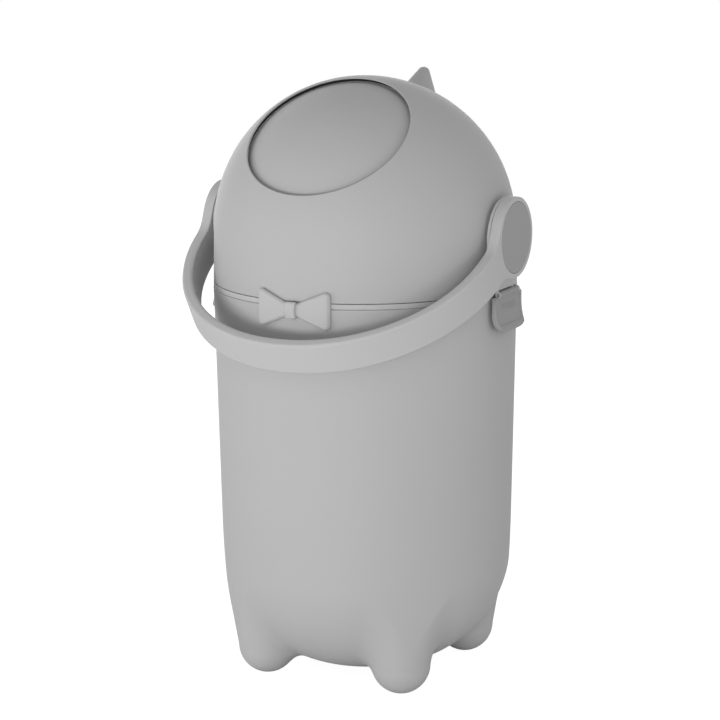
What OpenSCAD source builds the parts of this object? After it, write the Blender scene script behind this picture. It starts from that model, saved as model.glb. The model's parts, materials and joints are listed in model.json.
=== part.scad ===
// Nappy bin: a tub on four moulded feet under a domed head. A ball-shaped drum turns in
// the head with the carrying handle. At rest the drum's closed back shows in the round
// opening and its pocket hangs over the tub; with the handle swung over, the pocket faces
// the opening. Two side latches hold the head on the tub.
// Frame: origin on the floor under the middle, +Z up, front towards -Y, drum axis along X.
// Sizes in millimetres, angles in degrees.

/* [Body] */
// Outer radius of the tub at its rim
body_r = 120; // [110:1:132]
// Height of the tub's rim above the floor
rim_z = 311.3; // [280:0.1:340]
// Shrink of the tub's radius for each millimetre down from the rim
wall_taper = 0.02; // [0.01:0.005:0.03]
// Wall thickness of the tub and its feet
body_wall = 3; // [2:0.5:4]
// Radius of the rounding between the wall and the bottom
bowl_r = 95; // [78:1:98]
// Height of the tub's bottom above the floor
bottom_z = 5.2; // [4:0.2:12]
// Radius of the circle that the four feet stand on
foot_ring_r = 84.4; // [78:0.2:87]
// Radius of each foot's round end
foot_r = 24.4; // [22:0.1:26]
// How much of each round end is cut flat for a sole
sole_cut = 0.8; // [0.6:0.2:2.6]
// Widening of a foot between its round end and the place where it meets the wall
foot_flare = 1; // [0.5:0.5:3]

/* [Collar] */
// Height of the visible band between tub and head
collar_h = 3.9; // [3:0.1:6]
// Depth of the collar's skirt inside the tub
collar_skirt = 22; // [10:1:40]
// Thickness of the collar's skirt
collar_wall = 2.8; // [2:0.1:3.4]
// Clearance between faces that rest on each other
rest_gap = 0.2; // [0.1:0.05:0.3]
// Clearance between the collar and what it fits in
collar_gap = 0.5; // [0.3:0.1:0.8]

/* [Head] */
// How far the dome stands back from the tub's rim
dome_step = 1; // [0.4:0.1:1.4]
// Wall thickness of the dome
dome_wall = 3; // [2.5:0.1:3.4]
// Height of the straight skirt from the dome's rim to the drum axis
skirt_h = 40.2; // [36:0.2:48]
// Radius of the round opening
opening_r = 64.7; // [56:0.1:68]
// Angle of the opening above the horizontal, towards the front
opening_angle = 52.4; // [48:0.2:58]
// Width of the bevel on the opening's edge
opening_bevel = 1.4; // [0.6:0.1:2]
// Height of the horn's root above the drum axis
horn_root_z = 80; // [74:1:86]
// Angle of the horn above the horizontal, towards the back
horn_angle = 60; // [54:1:66]
// Length of the horn from its root to its tip
horn_len = 43; // [34:1:44]
// Radius of the horn at its root
horn_root_r = 24; // [18:0.5:26]
// Radius of the horn's rounded tip
horn_tip_r = 5; // [3.5:0.5:6]

/* [Drum] */
// Clearance between the drum and the dome around it
drum_gap = 0.8; // [0.6:0.1:1.2]
// Wall thickness of the drum
drum_wall = 2.4; // [2:0.1:3]
// Distance of the drum's flat ends behind the inside of the dome
drum_end_set = 7.5; // [6.5:0.1:9]
// Inner radius of the nappy pocket
pocket_r = 60; // [50:1:61]
// Wall thickness of the pocket
pocket_wall = 2; // [1.5:0.1:3]
// Wall thickness of the seat that carries the drum from below
seat_wall = 2.2; // [1.8:0.1:3]
// Turn of the handle between closed and open
turn = 150; // [140:1:152]

/* [Hubs and axles] */
// Radius of the axle's round journal
axle_r = 10; // [8:0.5:10.5]
// Running clearance between a journal and its bush
axle_fit = 0.05; // [0.02:0.01:0.1]
// Wall thickness of the bush
bush_wall = 3; // [2:0.5:4]
// Width across flats of the square that turns the drum
drum_square = 16; // [14:0.5:17]
// Width across flats of the square that the handle sits on
handle_square = 12; // [10:0.5:12]
// Radius of the base ring under each handle pad
base_ring_r = 30.6; // [26:0.2:31]
// Radius of the neck that seats a base ring in the dome
base_neck_r = 22; // [18:0.5:24]
// Radius of the axle screw's shank
screw_r = 2.5; // [2:0.25:3]

/* [Handle] */
// Distance of the handle's inner face from the dome, along the axis
handle_stand = 2.5; // [2.2:0.1:4]
// Thickness of the handle's strap
handle_t = 8.5; // [7.5:0.1:10]
// Width of the strap
handle_w = 28; // [20:0.5:30]
// Drop of the handle below the horizontal at rest
handle_drop = 30; // [26:0.5:32]
// Straight length of each arm from the axis to the start of the bow
arm_len = 32.5; // [30:0.5:36]
// Radius of the round pad at each end
pad_r = 31.3; // [29:0.1:31.5]
// Radius of the cap let into each pad
cap_r = 27.4; // [22:0.1:28]
// Thickness of the cap
cap_t = 1.5; // [1.2:0.1:2]

/* [Latches] */
// Width of a latch
latch_w = 50; // [44:1:56]
// Height of a latch below its hinge pin
latch_h = 30.5; // [28:0.5:34]
// Radius of the rounded lower corners
latch_corner_r = 8; // [4:0.5:10]
// Radius of the hinge pin
pin_r = 1.25; // [1:0.05:1.4]
// Radius of the hinge knuckles
knuckle_r = 2.6; // [2.4:0.1:2.8]
// Half the width of the middle knuckle
knuckle_half_w = 9.6; // [7:0.2:11]
// Half the width of the lug on the dome
lug_half_w = 18.5; // [16:0.5:22]
// Length of the catch on the tub
catch_len = 20; // [14:1:30]

/* [Bow tie] */
// Width over both wings
bow_w = 61; // [50:1:68]
// Height of the wings at their outer ends
bow_h = 28.5; // [24:0.5:32]
// Height of the wings at the knot
bow_waist = 10; // [8:0.5:12]
// Thickness of the wings
bow_t = 3.4; // [2.6:0.1:4]
// Width of the knot
knot_w = 9.4; // [8:0.2:12]
// Height of the knot
knot_h = 13; // [11:0.5:15]
// Radius of the wings' outer corners
bow_corner_r = 2.6; // [1.5:0.1:4]

/* [Hidden] */
$fn = 72;

grey = [0.70, 0.70, 0.70];
pale_grey = [0.76, 0.76, 0.76];
inner_grey = [0.60, 0.60, 0.61];
rubber = [0.25, 0.25, 0.26];
steel = [0.75, 0.76, 0.78];

eps = 1;                                  // overshoot of a cut past the face it opens
arc_steps = 15;                           // straight steps in a drawn arc
fine = 240;                               // facets of the tub's curve where thin trim follows it

// Tub: the rounding's centre lies where the wall has the tapered radius.
bowl_cz = bottom_z + bowl_r;
bowl_cx = wall_r(bowl_cz) - bowl_r;
foot_cz = foot_r - sole_cut;
foot_top_z = bowl_cz - bowl_r / 4;
foot_angles = [45, 135, 225, 315];

// Stack of tub, collar and dome.
collar_z = rim_z + rest_gap;
collar_top = collar_z + collar_h;
collar_out = body_r - dome_step / 4;
skirt_out = body_r - body_wall - collar_gap;
skirt_in = skirt_out - collar_wall;
seal_squash = 0.1;                        // gap left under the rim seal
dome_rim_z = collar_top + 2 * rest_gap;
axis_z = dome_rim_z + skirt_h;
dome_r = body_r - dome_step;
dome_rim_r = body_r - dome_step / 2;
dome_in_r = dome_r - dome_wall;

// Rim seal in its groove under the dome's edge.
seal_mid_r = dome_rim_r - dome_wall / 2;
seal_half_w = 0.55;
seal_h = 1.3;
seal_room = 0.1;                          // room of a seal in its groove

// Drum and what carries it.
drum_r = dome_in_r - drum_gap;
drum_end = dome_in_r - drum_end_set;
drum_in_r = drum_r - drum_wall;
half_gap = 0.05;                          // gap on each side of the drum's parting plane
pocket_angle = opening_angle - turn;
cup_r = pocket_r + pocket_wall;
cup_fit = 0.15;
cup_rim = sqrt(drum_r * drum_r - cup_r * cup_r) - 0.2;
seat_in_r = drum_r + drum_gap;
seat_out_r = seat_in_r + seat_wall;
seat_top = -skirt_h / 2;                  // top of the seat's ring, from the drum axis
seat_ring_h = 10;
seat_ring_gap = 0.15;
outlet_r = cup_r;
wiper_gap = 0.35;                         // gap between a wiper seal and the drum
wiper_w = 2.6;
wiper_depth = 1.2;

// Hub stack along X, from the inside out.
boss_r = drum_square + 18;
boss_x = drum_end + 1.5;
boss_gap = 0.3;                           // gap between a hub boss and the seat around it
bush_x = drum_end + 0.25;
bush_flange_t = 1;
bush_r = axle_r + axle_fit + bush_wall;
bush_flange_r = bush_r + 3.5;
bush_fit = 0.05;
handle_in = dome_r + handle_stand;
handle_out = handle_in + handle_t;
base_out = handle_in - 0.4;
base_ring_t = 2.4;
base_seat_x = dome_in_r - 2;
base_fit = 0.2;
axle_flange_r = drum_square / 2 + 7;
axle_flange_t = 3.5;
drum_boss_x = drum_end - 18.5;
drum_boss_r = axle_flange_r + 1;
square_fit = 0.1;
journal_x = drum_end + half_gap;
journal_end = handle_in - 0.1;
handle_square_t = 3;
square_end = journal_end + handle_square_t;
screw_fit = 0.1;
screw_x = drum_end - 4;
screw_head_r = screw_r + 2.1;
screw_head_t = 1.3;
cap_fit = 0.15;
cap_seat = handle_out - cap_t - 0.1;
cap_well = cap_seat - 1.6;
cap_well_r = cap_r - 3.4;
cap_lip_t = 1.2;

// Handle: both arms run tangent into a half circle.
bow_out_r = handle_out;
bow_in_r = handle_in;

// Latches, drawn on the +X side. Sizes run outwards from the tub's surface.
pin_x = body_r + 2.8;
pin_z = dome_rim_z - 2.4;
pin_fit = 0.05;
ear_gap = 0.3;
lug_out = pin_x - 0.4;
lug_top = axis_z - pad_r - 0.9;
latch_top = pin_z - knuckle_r - ear_gap;
latch_bottom = pin_z - latch_h;
catch_z = pin_z - 13.4;
catch_h = 3;
catch_out = body_r + 1.8;
latch_in = body_r + 0.7;
latch_out = body_r + 3.4;
hook_in = body_r + 0.5;
hook_gap = 0.35;
lip_out = body_r + 8.4;

// Bow tie on the tub's rim, in front of collar and dome.
bow_z = rim_z - 1.5;
bow_in = body_r + 0.4;
bow_face = bow_in + bow_t;
bridge_face = bow_in + bow_t / 2;
knot_proud = 4;
knot_gap = 0.1;
knot_out = bridge_face + knot_proud;
knot_r = (knot_h * knot_h / 4 + knot_proud * knot_proud) / (2 * knot_proud);
peg_r = 1.5;
peg_x = bow_w / 5;
peg_z = rim_z - 5.5;
peg_fit = 0.1;

function wall_r(z) = body_r - wall_taper * (rim_z - z);
function on_sphere(r, x) = [x, sqrt(r * r - x * x)];
function arc(cx, cz, r, from, to) =
    [for (i = [0 : arc_steps]) let (a = from + (to - from) * i / arc_steps)
        [cx + r * cos(a), cz + r * sin(a)]];

// Turns +Z to a direction in the YZ plane: up from the front for a positive angle.
module aim(angle) rotate([90 - angle, 0, 0]) children();
module at_axis() translate([0, 0, axis_z]) children();
module both_sides() {
    children();
    mirror([1, 0, 0]) children();
}
// A cylinder along X between two distances from the middle.
module rod_x(r, from, to)
    translate([from, 0, 0]) rotate([0, 90, 0]) cylinder(h = to - from, r = r);
module square_x(w, from, to) translate([from, -w / 2, -w / 2]) cube([to - from, w, w]);
// A narrow ring that follows a spherical wall, between two distances from its own axis.
module sphere_ring(r_in, r_out, from, to) rotate_extrude() polygon([
    on_sphere(r_in, from), on_sphere(r_in, to), on_sphere(r_out, to), on_sphere(r_out, from)
]);

// ---------------------------------------------------------------- tub
module tub_form(inset, top) {
    rotate_extrude() polygon(concat(
        [[0, bottom_z + inset]],
        arc(bowl_cx, bowl_cz, bowl_r - inset, 270, 360),
        [[wall_r(rim_z) - inset, top], [0, top]]
    ));
    for (a = foot_angles) rotate(a) translate([foot_ring_r, 0, 0]) foot_form(inset);
}
module foot_form(inset) {
    end_r = foot_r - inset;
    rotate_extrude() polygon(concat(
        [[0, inset]],
        arc(0, foot_cz, end_r, asin((inset - foot_cz) / end_r), 0),
        [[end_r + foot_flare, foot_top_z], [0, foot_top_z]]
    ));
}
module catch_rib()
    translate([body_r - body_wall / 2, -catch_len / 2, catch_z])
        cube([catch_out - body_r + body_wall / 2, catch_len, catch_h]);
module bin_body() color(grey) difference() {
    union() {
        difference() {
            tub_form(0, rim_z);
            tub_form(body_wall, rim_z + eps);
        }
        both_sides() catch_rib();
    }
    for (x = [-peg_x, peg_x]) translate([x, 0, peg_z]) rotate([90, 0, 0])
        cylinder(h = body_r + eps, r = peg_r + peg_fit);
}

// ---------------------------------------------------------------- collar that clamps the bag
module collar_ring() color(pale_grey) rotate_extrude() polygon([
    [skirt_in, collar_z - collar_skirt], [skirt_out, collar_z - collar_skirt],
    [skirt_out, collar_z], [collar_out, collar_z],
    [collar_out, collar_top], [skirt_in, collar_top]
]);

// ---------------------------------------------------------------- bow tie
module wing_outline() difference() {
    union() {
        polygon([[0, -bow_waist / 2], [bow_w / 2 - bow_corner_r, -bow_h / 2],
            [bow_w / 2 - bow_corner_r, bow_h / 2], [0, bow_waist / 2]]);
        translate([bow_w / 2 - 2 * bow_corner_r, bow_corner_r - bow_h / 2])
            square([2 * bow_corner_r, bow_h - 2 * bow_corner_r]);
        for (s = [-1, 1])
            translate([bow_w / 2 - bow_corner_r, s * (bow_h / 2 - bow_corner_r)])
                circle(r = bow_corner_r);
    }
}
// A plate of the given outline, wrapped round the tub between two radii.
module wrapped(r_in, r_out) intersection() {
    translate([0, 0, bow_z]) rotate([90, 0, 0]) linear_extrude(body_r + 20) children();
    difference() {
        cylinder(h = axis_z, r = r_out, $fn = fine);
        translate([0, 0, -eps]) cylinder(h = axis_z + 2 * eps, r = r_in, $fn = fine);
    }
}
module bow_wings() color(pale_grey) {
    both_sides() wrapped(bow_in, bow_face) difference() {
        wing_outline();
        translate([-eps, -bow_h]) square([knot_w / 2 + eps, 2 * bow_h]);
    }
    wrapped(bow_in, bridge_face) square([knot_w, bow_waist - 2], center = true);
    intersection() {
        for (x = [-peg_x, peg_x]) translate([x, 0, peg_z]) rotate([90, 0, 0])
            cylinder(h = body_r + 2, r = peg_r);
        difference() {
            cylinder(h = axis_z, r = bow_in + bow_t / 2);
            translate([0, 0, -eps]) cylinder(h = axis_z + 2 * eps, r = body_r - body_wall);
        }
    }
}
module bow_knot() color(pale_grey) difference() {
    translate([0, knot_r - knot_out, bow_z])
        rod_x(knot_r, knot_gap - knot_w / 2, knot_w / 2 - knot_gap);
    cylinder(h = axis_z, r = bridge_face + knot_gap, $fn = fine);
}

// ---------------------------------------------------------------- head
module dome_section(inset, below) {
    intersection() {
        circle(r = dome_r - inset);
        square(dome_r);
    }
    polygon([[0, 0], [dome_r - inset, 0], [dome_rim_r - inset, -skirt_h],
        [dome_rim_r - inset, -skirt_h - below], [0, -skirt_h - below]]);
}
module horn_form(inset) {
    depth = horn_root_r / 2;
    lean = atan((horn_root_r - horn_tip_r) / (horn_len - horn_tip_r));
    translate([0, on_sphere(dome_r, horn_root_z)[1], horn_root_z])
        rotate([horn_angle - 90, 0, 0]) rotate_extrude() polygon(concat(
            [[0, -depth], [horn_root_r + depth * tan(lean) - inset, -depth]],
            arc(0, horn_len - horn_tip_r - inset, horn_tip_r - inset / 2, lean, 90)
        ));
}
module lug() {
    translate([dome_rim_r - dome_wall / 2, -lug_half_w, dome_rim_z + 0.7])
        cube([lug_out - dome_rim_r + dome_wall / 2, 2 * lug_half_w, lug_top - dome_rim_z - 0.7]);
    for (s = [-1, 1]) {
        ear_y = knuckle_half_w + ear_gap;
        translate([pin_x, s * (lug_half_w + ear_y) / 2, pin_z]) rotate([90, 0, 0])
            cylinder(h = lug_half_w - ear_y, r = knuckle_r, center = true);
        translate([pin_x - knuckle_r, s * (lug_half_w + ear_y) / 2, pin_z + knuckle_r])
            translate([0, (ear_y - lug_half_w) / 2, -knuckle_r])
                cube([knuckle_r, lug_half_w - ear_y, 2 * knuckle_r]);
    }
}
module dome_shell() color(grey) difference() {
    union() {
        at_axis() difference() {
            union() {
                rotate_extrude() dome_section(0, 0);
                horn_form(0);
            }
            difference() {
                union() {
                    rotate_extrude() dome_section(dome_wall, eps);
                    horn_form(dome_wall);
                }
                both_sides() rod_x(boss_r, boss_x, dome_r);
            }
        }
        both_sides() lug();
    }
    at_axis() {
        aim(opening_angle) {
            cylinder(h = 2 * dome_r, r = opening_r);
            translate([0, 0, sqrt(dome_r * dome_r - opening_r * opening_r) - opening_bevel])
                cylinder(h = 4 * opening_bevel, r1 = opening_r, r2 = opening_r + 4 * opening_bevel);
            sphere_ring(drum_r, dome_in_r + wiper_depth + seal_room,
                opening_r + 2 - seal_room, opening_r + 2 + wiper_w + seal_room);
        }
        both_sides() {
            rod_x(bush_r + bush_fit, boss_x - eps, dome_r + eps);
            rod_x(base_neck_r + base_fit, base_seat_x, dome_r + eps);
            rod_x(base_ring_r + base_fit, base_out - base_ring_t - base_fit, dome_r + 2 * eps);
        }
    }
    translate([0, 0, dome_rim_z - eps]) difference() {
        cylinder(h = seal_h + seal_room + eps, r = seal_mid_r + seal_half_w + seal_room);
        translate([0, 0, -eps])
            cylinder(h = seal_h + seal_room + 3 * eps, r = seal_mid_r - seal_half_w - seal_room);
    }
    both_sides() translate([pin_x, 0, pin_z]) rotate([90, 0, 0])
        cylinder(h = 2 * lug_half_w + eps, r = pin_r + pin_fit, center = true);
}
module rim_seal() color(rubber)
    translate([0, 0, collar_top + seal_squash]) difference() {
        cylinder(h = dome_rim_z + seal_h - collar_top - seal_squash, r = seal_mid_r + seal_half_w);
        translate([0, 0, -eps]) cylinder(h = seal_h + 3 * eps, r = seal_mid_r - seal_half_w);
    }
module opening_seal() color(rubber) at_axis() aim(opening_angle)
    sphere_ring(drum_r + wiper_gap, dome_in_r + wiper_depth, opening_r + 2, opening_r + 2 + wiper_w);
module ball_seat() color(inner_grey) at_axis() difference() {
    rotate_extrude() intersection() {
        difference() {
            union() {
                circle(r = seat_out_r);
                translate([0, seat_top - seat_ring_h])
                    square([dome_in_r - seat_ring_gap, seat_ring_h]);
            }
            circle(r = seat_in_r);
        }
        translate([0, -2 * dome_r]) square([dome_in_r - seat_ring_gap, 2 * dome_r + seat_top]);
    }
    aim(pocket_angle) cylinder(h = 2 * dome_r, r = outlet_r);
    both_sides() rod_x(boss_r + boss_gap, drum_end, dome_r);
}
module outlet_seal() color(rubber) at_axis() aim(pocket_angle)
    sphere_ring(drum_r + wiper_gap, seat_out_r, outlet_r - wiper_w, outlet_r - seal_room);
module hub_base() color(pale_grey) at_axis() difference() {
    union() {
        rod_x(base_ring_r, base_out - base_ring_t, base_out);
        rod_x(base_neck_r, base_seat_x + seal_room, base_out - base_ring_t);
    }
    rod_x(bush_r + bush_fit, base_seat_x - eps, base_out + eps);
}
module hub_base_right() hub_base();
module hub_base_left() mirror([1, 0, 0]) hub_base();
module axle_bush() color(inner_grey) at_axis() difference() {
    union() {
        rod_x(bush_flange_r, bush_x, bush_x + bush_flange_t);
        rod_x(bush_r, bush_x + bush_flange_t, base_out);
    }
    rod_x(axle_r + axle_fit, bush_x - eps, base_out + eps);
}
module axle_bush_right() axle_bush();
module axle_bush_left() mirror([1, 0, 0]) axle_bush();

// ---------------------------------------------------------------- drum
module drum_form(r, end) intersection() {
    sphere(r = r);
    cube([2 * end, 3 * r, 3 * r], center = true);
}
module drum_hull() difference() {
    drum_form(drum_r, drum_end);
    difference() {
        drum_form(drum_in_r, drum_end - drum_wall);
        both_sides() rod_x(drum_boss_r, drum_boss_x, drum_end);
    }
    both_sides() square_x(drum_square + 2 * square_fit, drum_boss_x - eps, drum_end + eps);
    aim(pocket_angle) cylinder(h = 2 * drum_r, r = cup_r + cup_fit);
}
module drum_half(side) color(grey) at_axis() intersection() {
    drum_hull();
    aim(pocket_angle) translate([0, 0, side * (drum_r + half_gap)])
        cube(2 * drum_r, center = true);
}
module drum_mouth_half() drum_half(1);
module drum_back_half() drum_half(-1);
module cup_section(r) {
    intersection() {
        circle(r = r);
        translate([0, -r]) square(r);
    }
    square([r, cup_rim + (cup_r - r)]);
}
module pocket_cup() color(pale_grey) at_axis() aim(pocket_angle) rotate_extrude() difference() {
    cup_section(cup_r);
    cup_section(pocket_r);
}
module axle() color(inner_grey) at_axis() difference() {
    union() {
        rod_x(axle_flange_r, drum_boss_x - seal_room - axle_flange_t, drum_boss_x - seal_room);
        square_x(drum_square, drum_boss_x - seal_room, journal_x);
        rod_x(axle_r, journal_x, journal_end);
        square_x(handle_square, journal_end, square_end);
    }
    rod_x(screw_r + screw_fit, screw_x - eps, square_end + eps);
}
module axle_right() axle();
module axle_left() mirror([1, 0, 0]) axle();

// ---------------------------------------------------------------- handle
module strap_section(r) {
    intersection() {
        translate([0, -arm_len]) circle(r = r);
        translate([-r, -arm_len - r]) square([2 * r, r]);
    }
    translate([-r, -arm_len]) square([2 * r, arm_len]);
}
module handle() color(grey) at_axis() difference() {
    union() {
        rotate([handle_drop, 0, 0]) linear_extrude(handle_w, center = true) difference() {
            strap_section(bow_out_r);
            strap_section(bow_in_r);
        }
        both_sides() rod_x(pad_r, handle_in, handle_out);
    }
    both_sides() {
        square_x(handle_square + 2 * square_fit, handle_in - eps, square_end + seal_room);
        rod_x(screw_r + screw_fit, handle_in, handle_out + eps);
        rod_x(cap_r + cap_fit, cap_seat, handle_out + eps);
        rod_x(cap_well_r, cap_well, handle_out + eps);
    }
}
module hub_cap() color(grey) at_axis() {
    rod_x(cap_r, handle_out - cap_t, handle_out);
    difference() {
        rod_x(cap_well_r - cap_fit, cap_well + cap_fit, handle_out - cap_t);
        rod_x(cap_well_r - cap_fit - cap_lip_t, cap_well, handle_out - cap_t);
    }
}
module hub_cap_right() hub_cap();
module hub_cap_left() mirror([1, 0, 0]) hub_cap();
module axle_screws() color(steel) at_axis() both_sides() {
    rod_x(screw_r, screw_x, cap_well + 0.05);
    rod_x(screw_head_r, cap_well + 0.05, cap_well + 0.05 + screw_head_t);
}

// ---------------------------------------------------------------- latches
module latch_profile() polygon(concat(
    [[latch_in, latch_top], [latch_in, catch_z + catch_h + hook_gap],
        [catch_out + hook_gap, catch_z + catch_h + hook_gap],
        [catch_out + hook_gap, catch_z - hook_gap], [hook_in, catch_z - hook_gap],
        [hook_in, catch_z - hook_gap - 3.6]],
    arc(lip_out - 2.4, latch_bottom + 1.4, 1.4, 190, 360),
    arc(latch_out + 4.6, catch_z - hook_gap - 1, 4.6, 250, 180),
    [[latch_out, latch_top]]
));
module latch_tab() {
    low = latch_bottom;
    translate([-latch_w / 2, low + latch_corner_r])
        square([latch_w, latch_top - low - latch_corner_r]);
    translate([latch_corner_r - latch_w / 2, low]) square([latch_w - 2 * latch_corner_r, latch_corner_r]);
    for (s = [-1, 1]) translate([s * (latch_w / 2 - latch_corner_r), low + latch_corner_r])
        circle(r = latch_corner_r);
}
module latch() color(pale_grey) difference() {
    union() {
        intersection() {
            rotate([90, 0, 0]) linear_extrude(latch_w, center = true) latch_profile();
            rotate([90, 0, 90]) linear_extrude(2 * body_r) latch_tab();
        }
        translate([pin_x, 0, pin_z]) rotate([90, 0, 0])
            cylinder(h = 2 * knuckle_half_w, r = knuckle_r, center = true);
        translate([latch_in, -knuckle_half_w, latch_top])
            cube([latch_out - latch_in, 2 * knuckle_half_w, pin_z - latch_top]);
    }
    translate([pin_x, 0, pin_z]) rotate([90, 0, 0])
        cylinder(h = 2 * knuckle_half_w + eps, r = pin_r + pin_fit, center = true);
}
module latch_right() latch();
module latch_left() mirror([1, 0, 0]) latch();
module latch_pin() color(steel) translate([pin_x, 0, pin_z]) rotate([90, 0, 0])
    cylinder(h = 2 * lug_half_w - 1, r = pin_r, center = true);
module latch_pin_right() latch_pin();
module latch_pin_left() mirror([1, 0, 0]) latch_pin();

bin_body();
collar_ring();
bow_wings();
bow_knot();
dome_shell();
rim_seal();
opening_seal();
ball_seat();
outlet_seal();
hub_base_left();
hub_base_right();
axle_bush_left();
axle_bush_right();
drum_mouth_half();
drum_back_half();
pocket_cup();
axle_left();
axle_right();
axle_screws();
handle();
hub_cap_left();
hub_cap_right();
latch_left();
latch_right();
latch_pin_left();
latch_pin_right();
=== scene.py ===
# %% [markdown]
# # A nappy bin in moulded grey plastic
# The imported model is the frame: it brings every part at its real size and place, in metres, with +Z
# up and the front towards -Y. It is loaded first, and everything made here is measured from it. The
# corners of the whole model are kept, because the finished object has to stay inside them.

# %% Load the frame
import json
import math

import bmesh
import bpy
import numpy as np
from mathutils import Matrix, Vector


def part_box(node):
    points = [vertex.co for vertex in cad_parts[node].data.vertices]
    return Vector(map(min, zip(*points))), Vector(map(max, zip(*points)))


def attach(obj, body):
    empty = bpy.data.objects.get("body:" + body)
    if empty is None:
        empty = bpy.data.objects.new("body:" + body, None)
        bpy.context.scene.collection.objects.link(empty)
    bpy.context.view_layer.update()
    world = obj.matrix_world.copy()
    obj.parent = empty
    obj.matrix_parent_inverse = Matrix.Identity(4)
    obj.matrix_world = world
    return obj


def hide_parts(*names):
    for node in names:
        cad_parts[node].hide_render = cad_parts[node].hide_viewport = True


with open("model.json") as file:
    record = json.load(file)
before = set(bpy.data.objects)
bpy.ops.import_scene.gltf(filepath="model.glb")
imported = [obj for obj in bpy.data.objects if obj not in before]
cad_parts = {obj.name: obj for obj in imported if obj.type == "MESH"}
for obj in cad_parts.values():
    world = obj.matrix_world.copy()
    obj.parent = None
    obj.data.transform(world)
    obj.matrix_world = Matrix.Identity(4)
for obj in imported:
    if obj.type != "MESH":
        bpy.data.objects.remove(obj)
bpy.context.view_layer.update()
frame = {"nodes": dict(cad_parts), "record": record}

MM = 0.001
SIDES = (1, "right"), (-1, "left")
record = frame["record"]
joint = {j["name"]: j for j in record["behaviour"]["joints"]}

# %% [markdown]
# ## Sizes
# The drum's hinge gives the axis that the dome, the drum and the handle share. The rest is read
# from the corners of the parts, so a changed size in the construction moves the looks with it.

# %% Driving sizes
AXIS_Z = joint["drum_turn"]["pos_m"][2]
tub_low, tub_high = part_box("bin_body")
RIM_Z = tub_high.z
TUB_R = tub_high.y
DOME_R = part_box("dome_shell")[1].z - AXIS_Z
COLLAR_GAP = 0.4 * MM  # air between the collar's top and the dome's rim
DOME_RIM_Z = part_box("collar_ring")[1].z + COLLAR_GAP
print(f"axis {AXIS_Z:.4f}, rim {RIM_Z:.4f}, tub radius {TUB_R:.4f}, dome radius {DOME_R:.4f}")

# %% [markdown]
# ## Camera
# The photograph was taken from the front right, a little above the head, from about two metres. A
# long lens from that distance keeps the upright lines nearly parallel.

# %% Camera at the photograph's viewpoint
CAMERA_AT = Vector((0.8652, -1.6966, 0.6393))
CAMERA_TURN = 27.16   # degrees from straight ahead, round +Z
CAMERA_DOWN = 11.58   # degrees below the level line
CAMERA_ROLL = -0.374  # degrees, the camera was held almost upright
LENS = 121.96         # mm, on a sensor 36 mm wide
SENSOR = 36

def look_matrix(turn, down, roll):
    """Rotation of a camera that looks along turn (from +Y towards -X), tilted down, then rolled."""
    t, d, r = (math.radians(a) for a in (turn, down, roll))
    forward = Vector((-math.sin(t) * math.cos(d), math.cos(t) * math.cos(d), -math.sin(d)))
    right = Vector((math.cos(t), math.sin(t), 0))
    up = right.cross(forward)
    right, up = right * math.cos(r) + up * math.sin(r), up * math.cos(r) - right * math.sin(r)
    return [[right[i], up[i], -forward[i]] for i in range(3)]

camera_data = bpy.data.cameras.new("camera")
camera_data.lens = LENS
camera_data.sensor_width = SENSOR
camera = bpy.data.objects.new("camera", camera_data)
bpy.context.collection.objects.link(camera)
looking = Matrix(look_matrix(CAMERA_TURN, CAMERA_DOWN, CAMERA_ROLL)).to_4x4()
camera.matrix_world = Matrix.Translation(CAMERA_AT) @ looking
bpy.context.scene.camera = camera
bpy.context.scene.view_settings.view_transform = "Standard"
print(f"camera {CAMERA_AT.length:.2f} m from the floor's middle, lens {LENS} mm")

# %% [markdown]
# ## Light
# The product stands in a white studio. Long soft lamps lie low round it, the strongest at the
# front, and a wide one stands behind. The pale room does the rest. Area lamps are used, because a
# large lamp close by gives the slow, even fall of shade that a matt plastic shows in a light tent.
# First come two small helpers that every material below uses too.

# %% Colours and nodes
def linear(code):
    """An sRGB hex colour as linear RGBA."""
    parts = [int(code[i:i + 2], 16) / 255 for i in (1, 3, 5)]
    return [c / 12.92 if c <= 0.04045 else ((c + 0.055) / 1.055) ** 2.4 for c in parts] + [1]

def add_node(tree, kind, settings=None, links=None):
    """A node with its settings: sockets by name or number, or properties of the node, and links into it."""
    node = tree.nodes.new(kind)
    for key, value in (settings or {}).items():
        if isinstance(key, str) and hasattr(node, key) and key not in node.inputs:
            setattr(node, key, value)
        else:
            node.inputs[key].default_value = value
    for key, source in (links or {}).items():
        tree.links.new(source, node.inputs[key])
    return node

# %% Lamps
MIDDLE = Vector((0, 0, RIM_Z * 0.8))  # what the lamps face
LAMP_AWAY = 1.6                       # metres from the object's upright axis

def soft_lamp(name, turn, height, wide, tall, power):
    """A soft lamp that stands off at a turn from +X round the object and faces its middle."""
    data = bpy.data.lights.new(name, "AREA")
    data.shape = "RECTANGLE"
    data.size, data.size_y, data.energy = wide, tall, power
    lamp = bpy.data.objects.new(name, data)
    turn = math.radians(turn)
    lamp.location = (LAMP_AWAY * math.cos(turn), LAMP_AWAY * math.sin(turn), height)
    lamp.rotation_mode = "QUATERNION"
    lamp.rotation_quaternion = (lamp.location - MIDDLE).to_track_quat("Z", "Y")
    bpy.context.collection.objects.link(lamp)

# name, turn in degrees, height, width and length in metres, power in watts
for lamp_values in (("left_lamp", -135, 0.17, 1.0, 0.3, 5.1),
                    ("front_lamp", -80, 0.17, 1.0, 0.3, 6.9),
                    ("right_lamp", -20, 0.17, 1.0, 0.3, 2.2),
                    ("back_lamp", 127, 0.5, 1.6, 0.8, 7)):
    soft_lamp(*lamp_values)
    print("lamp", *lamp_values)

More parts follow.
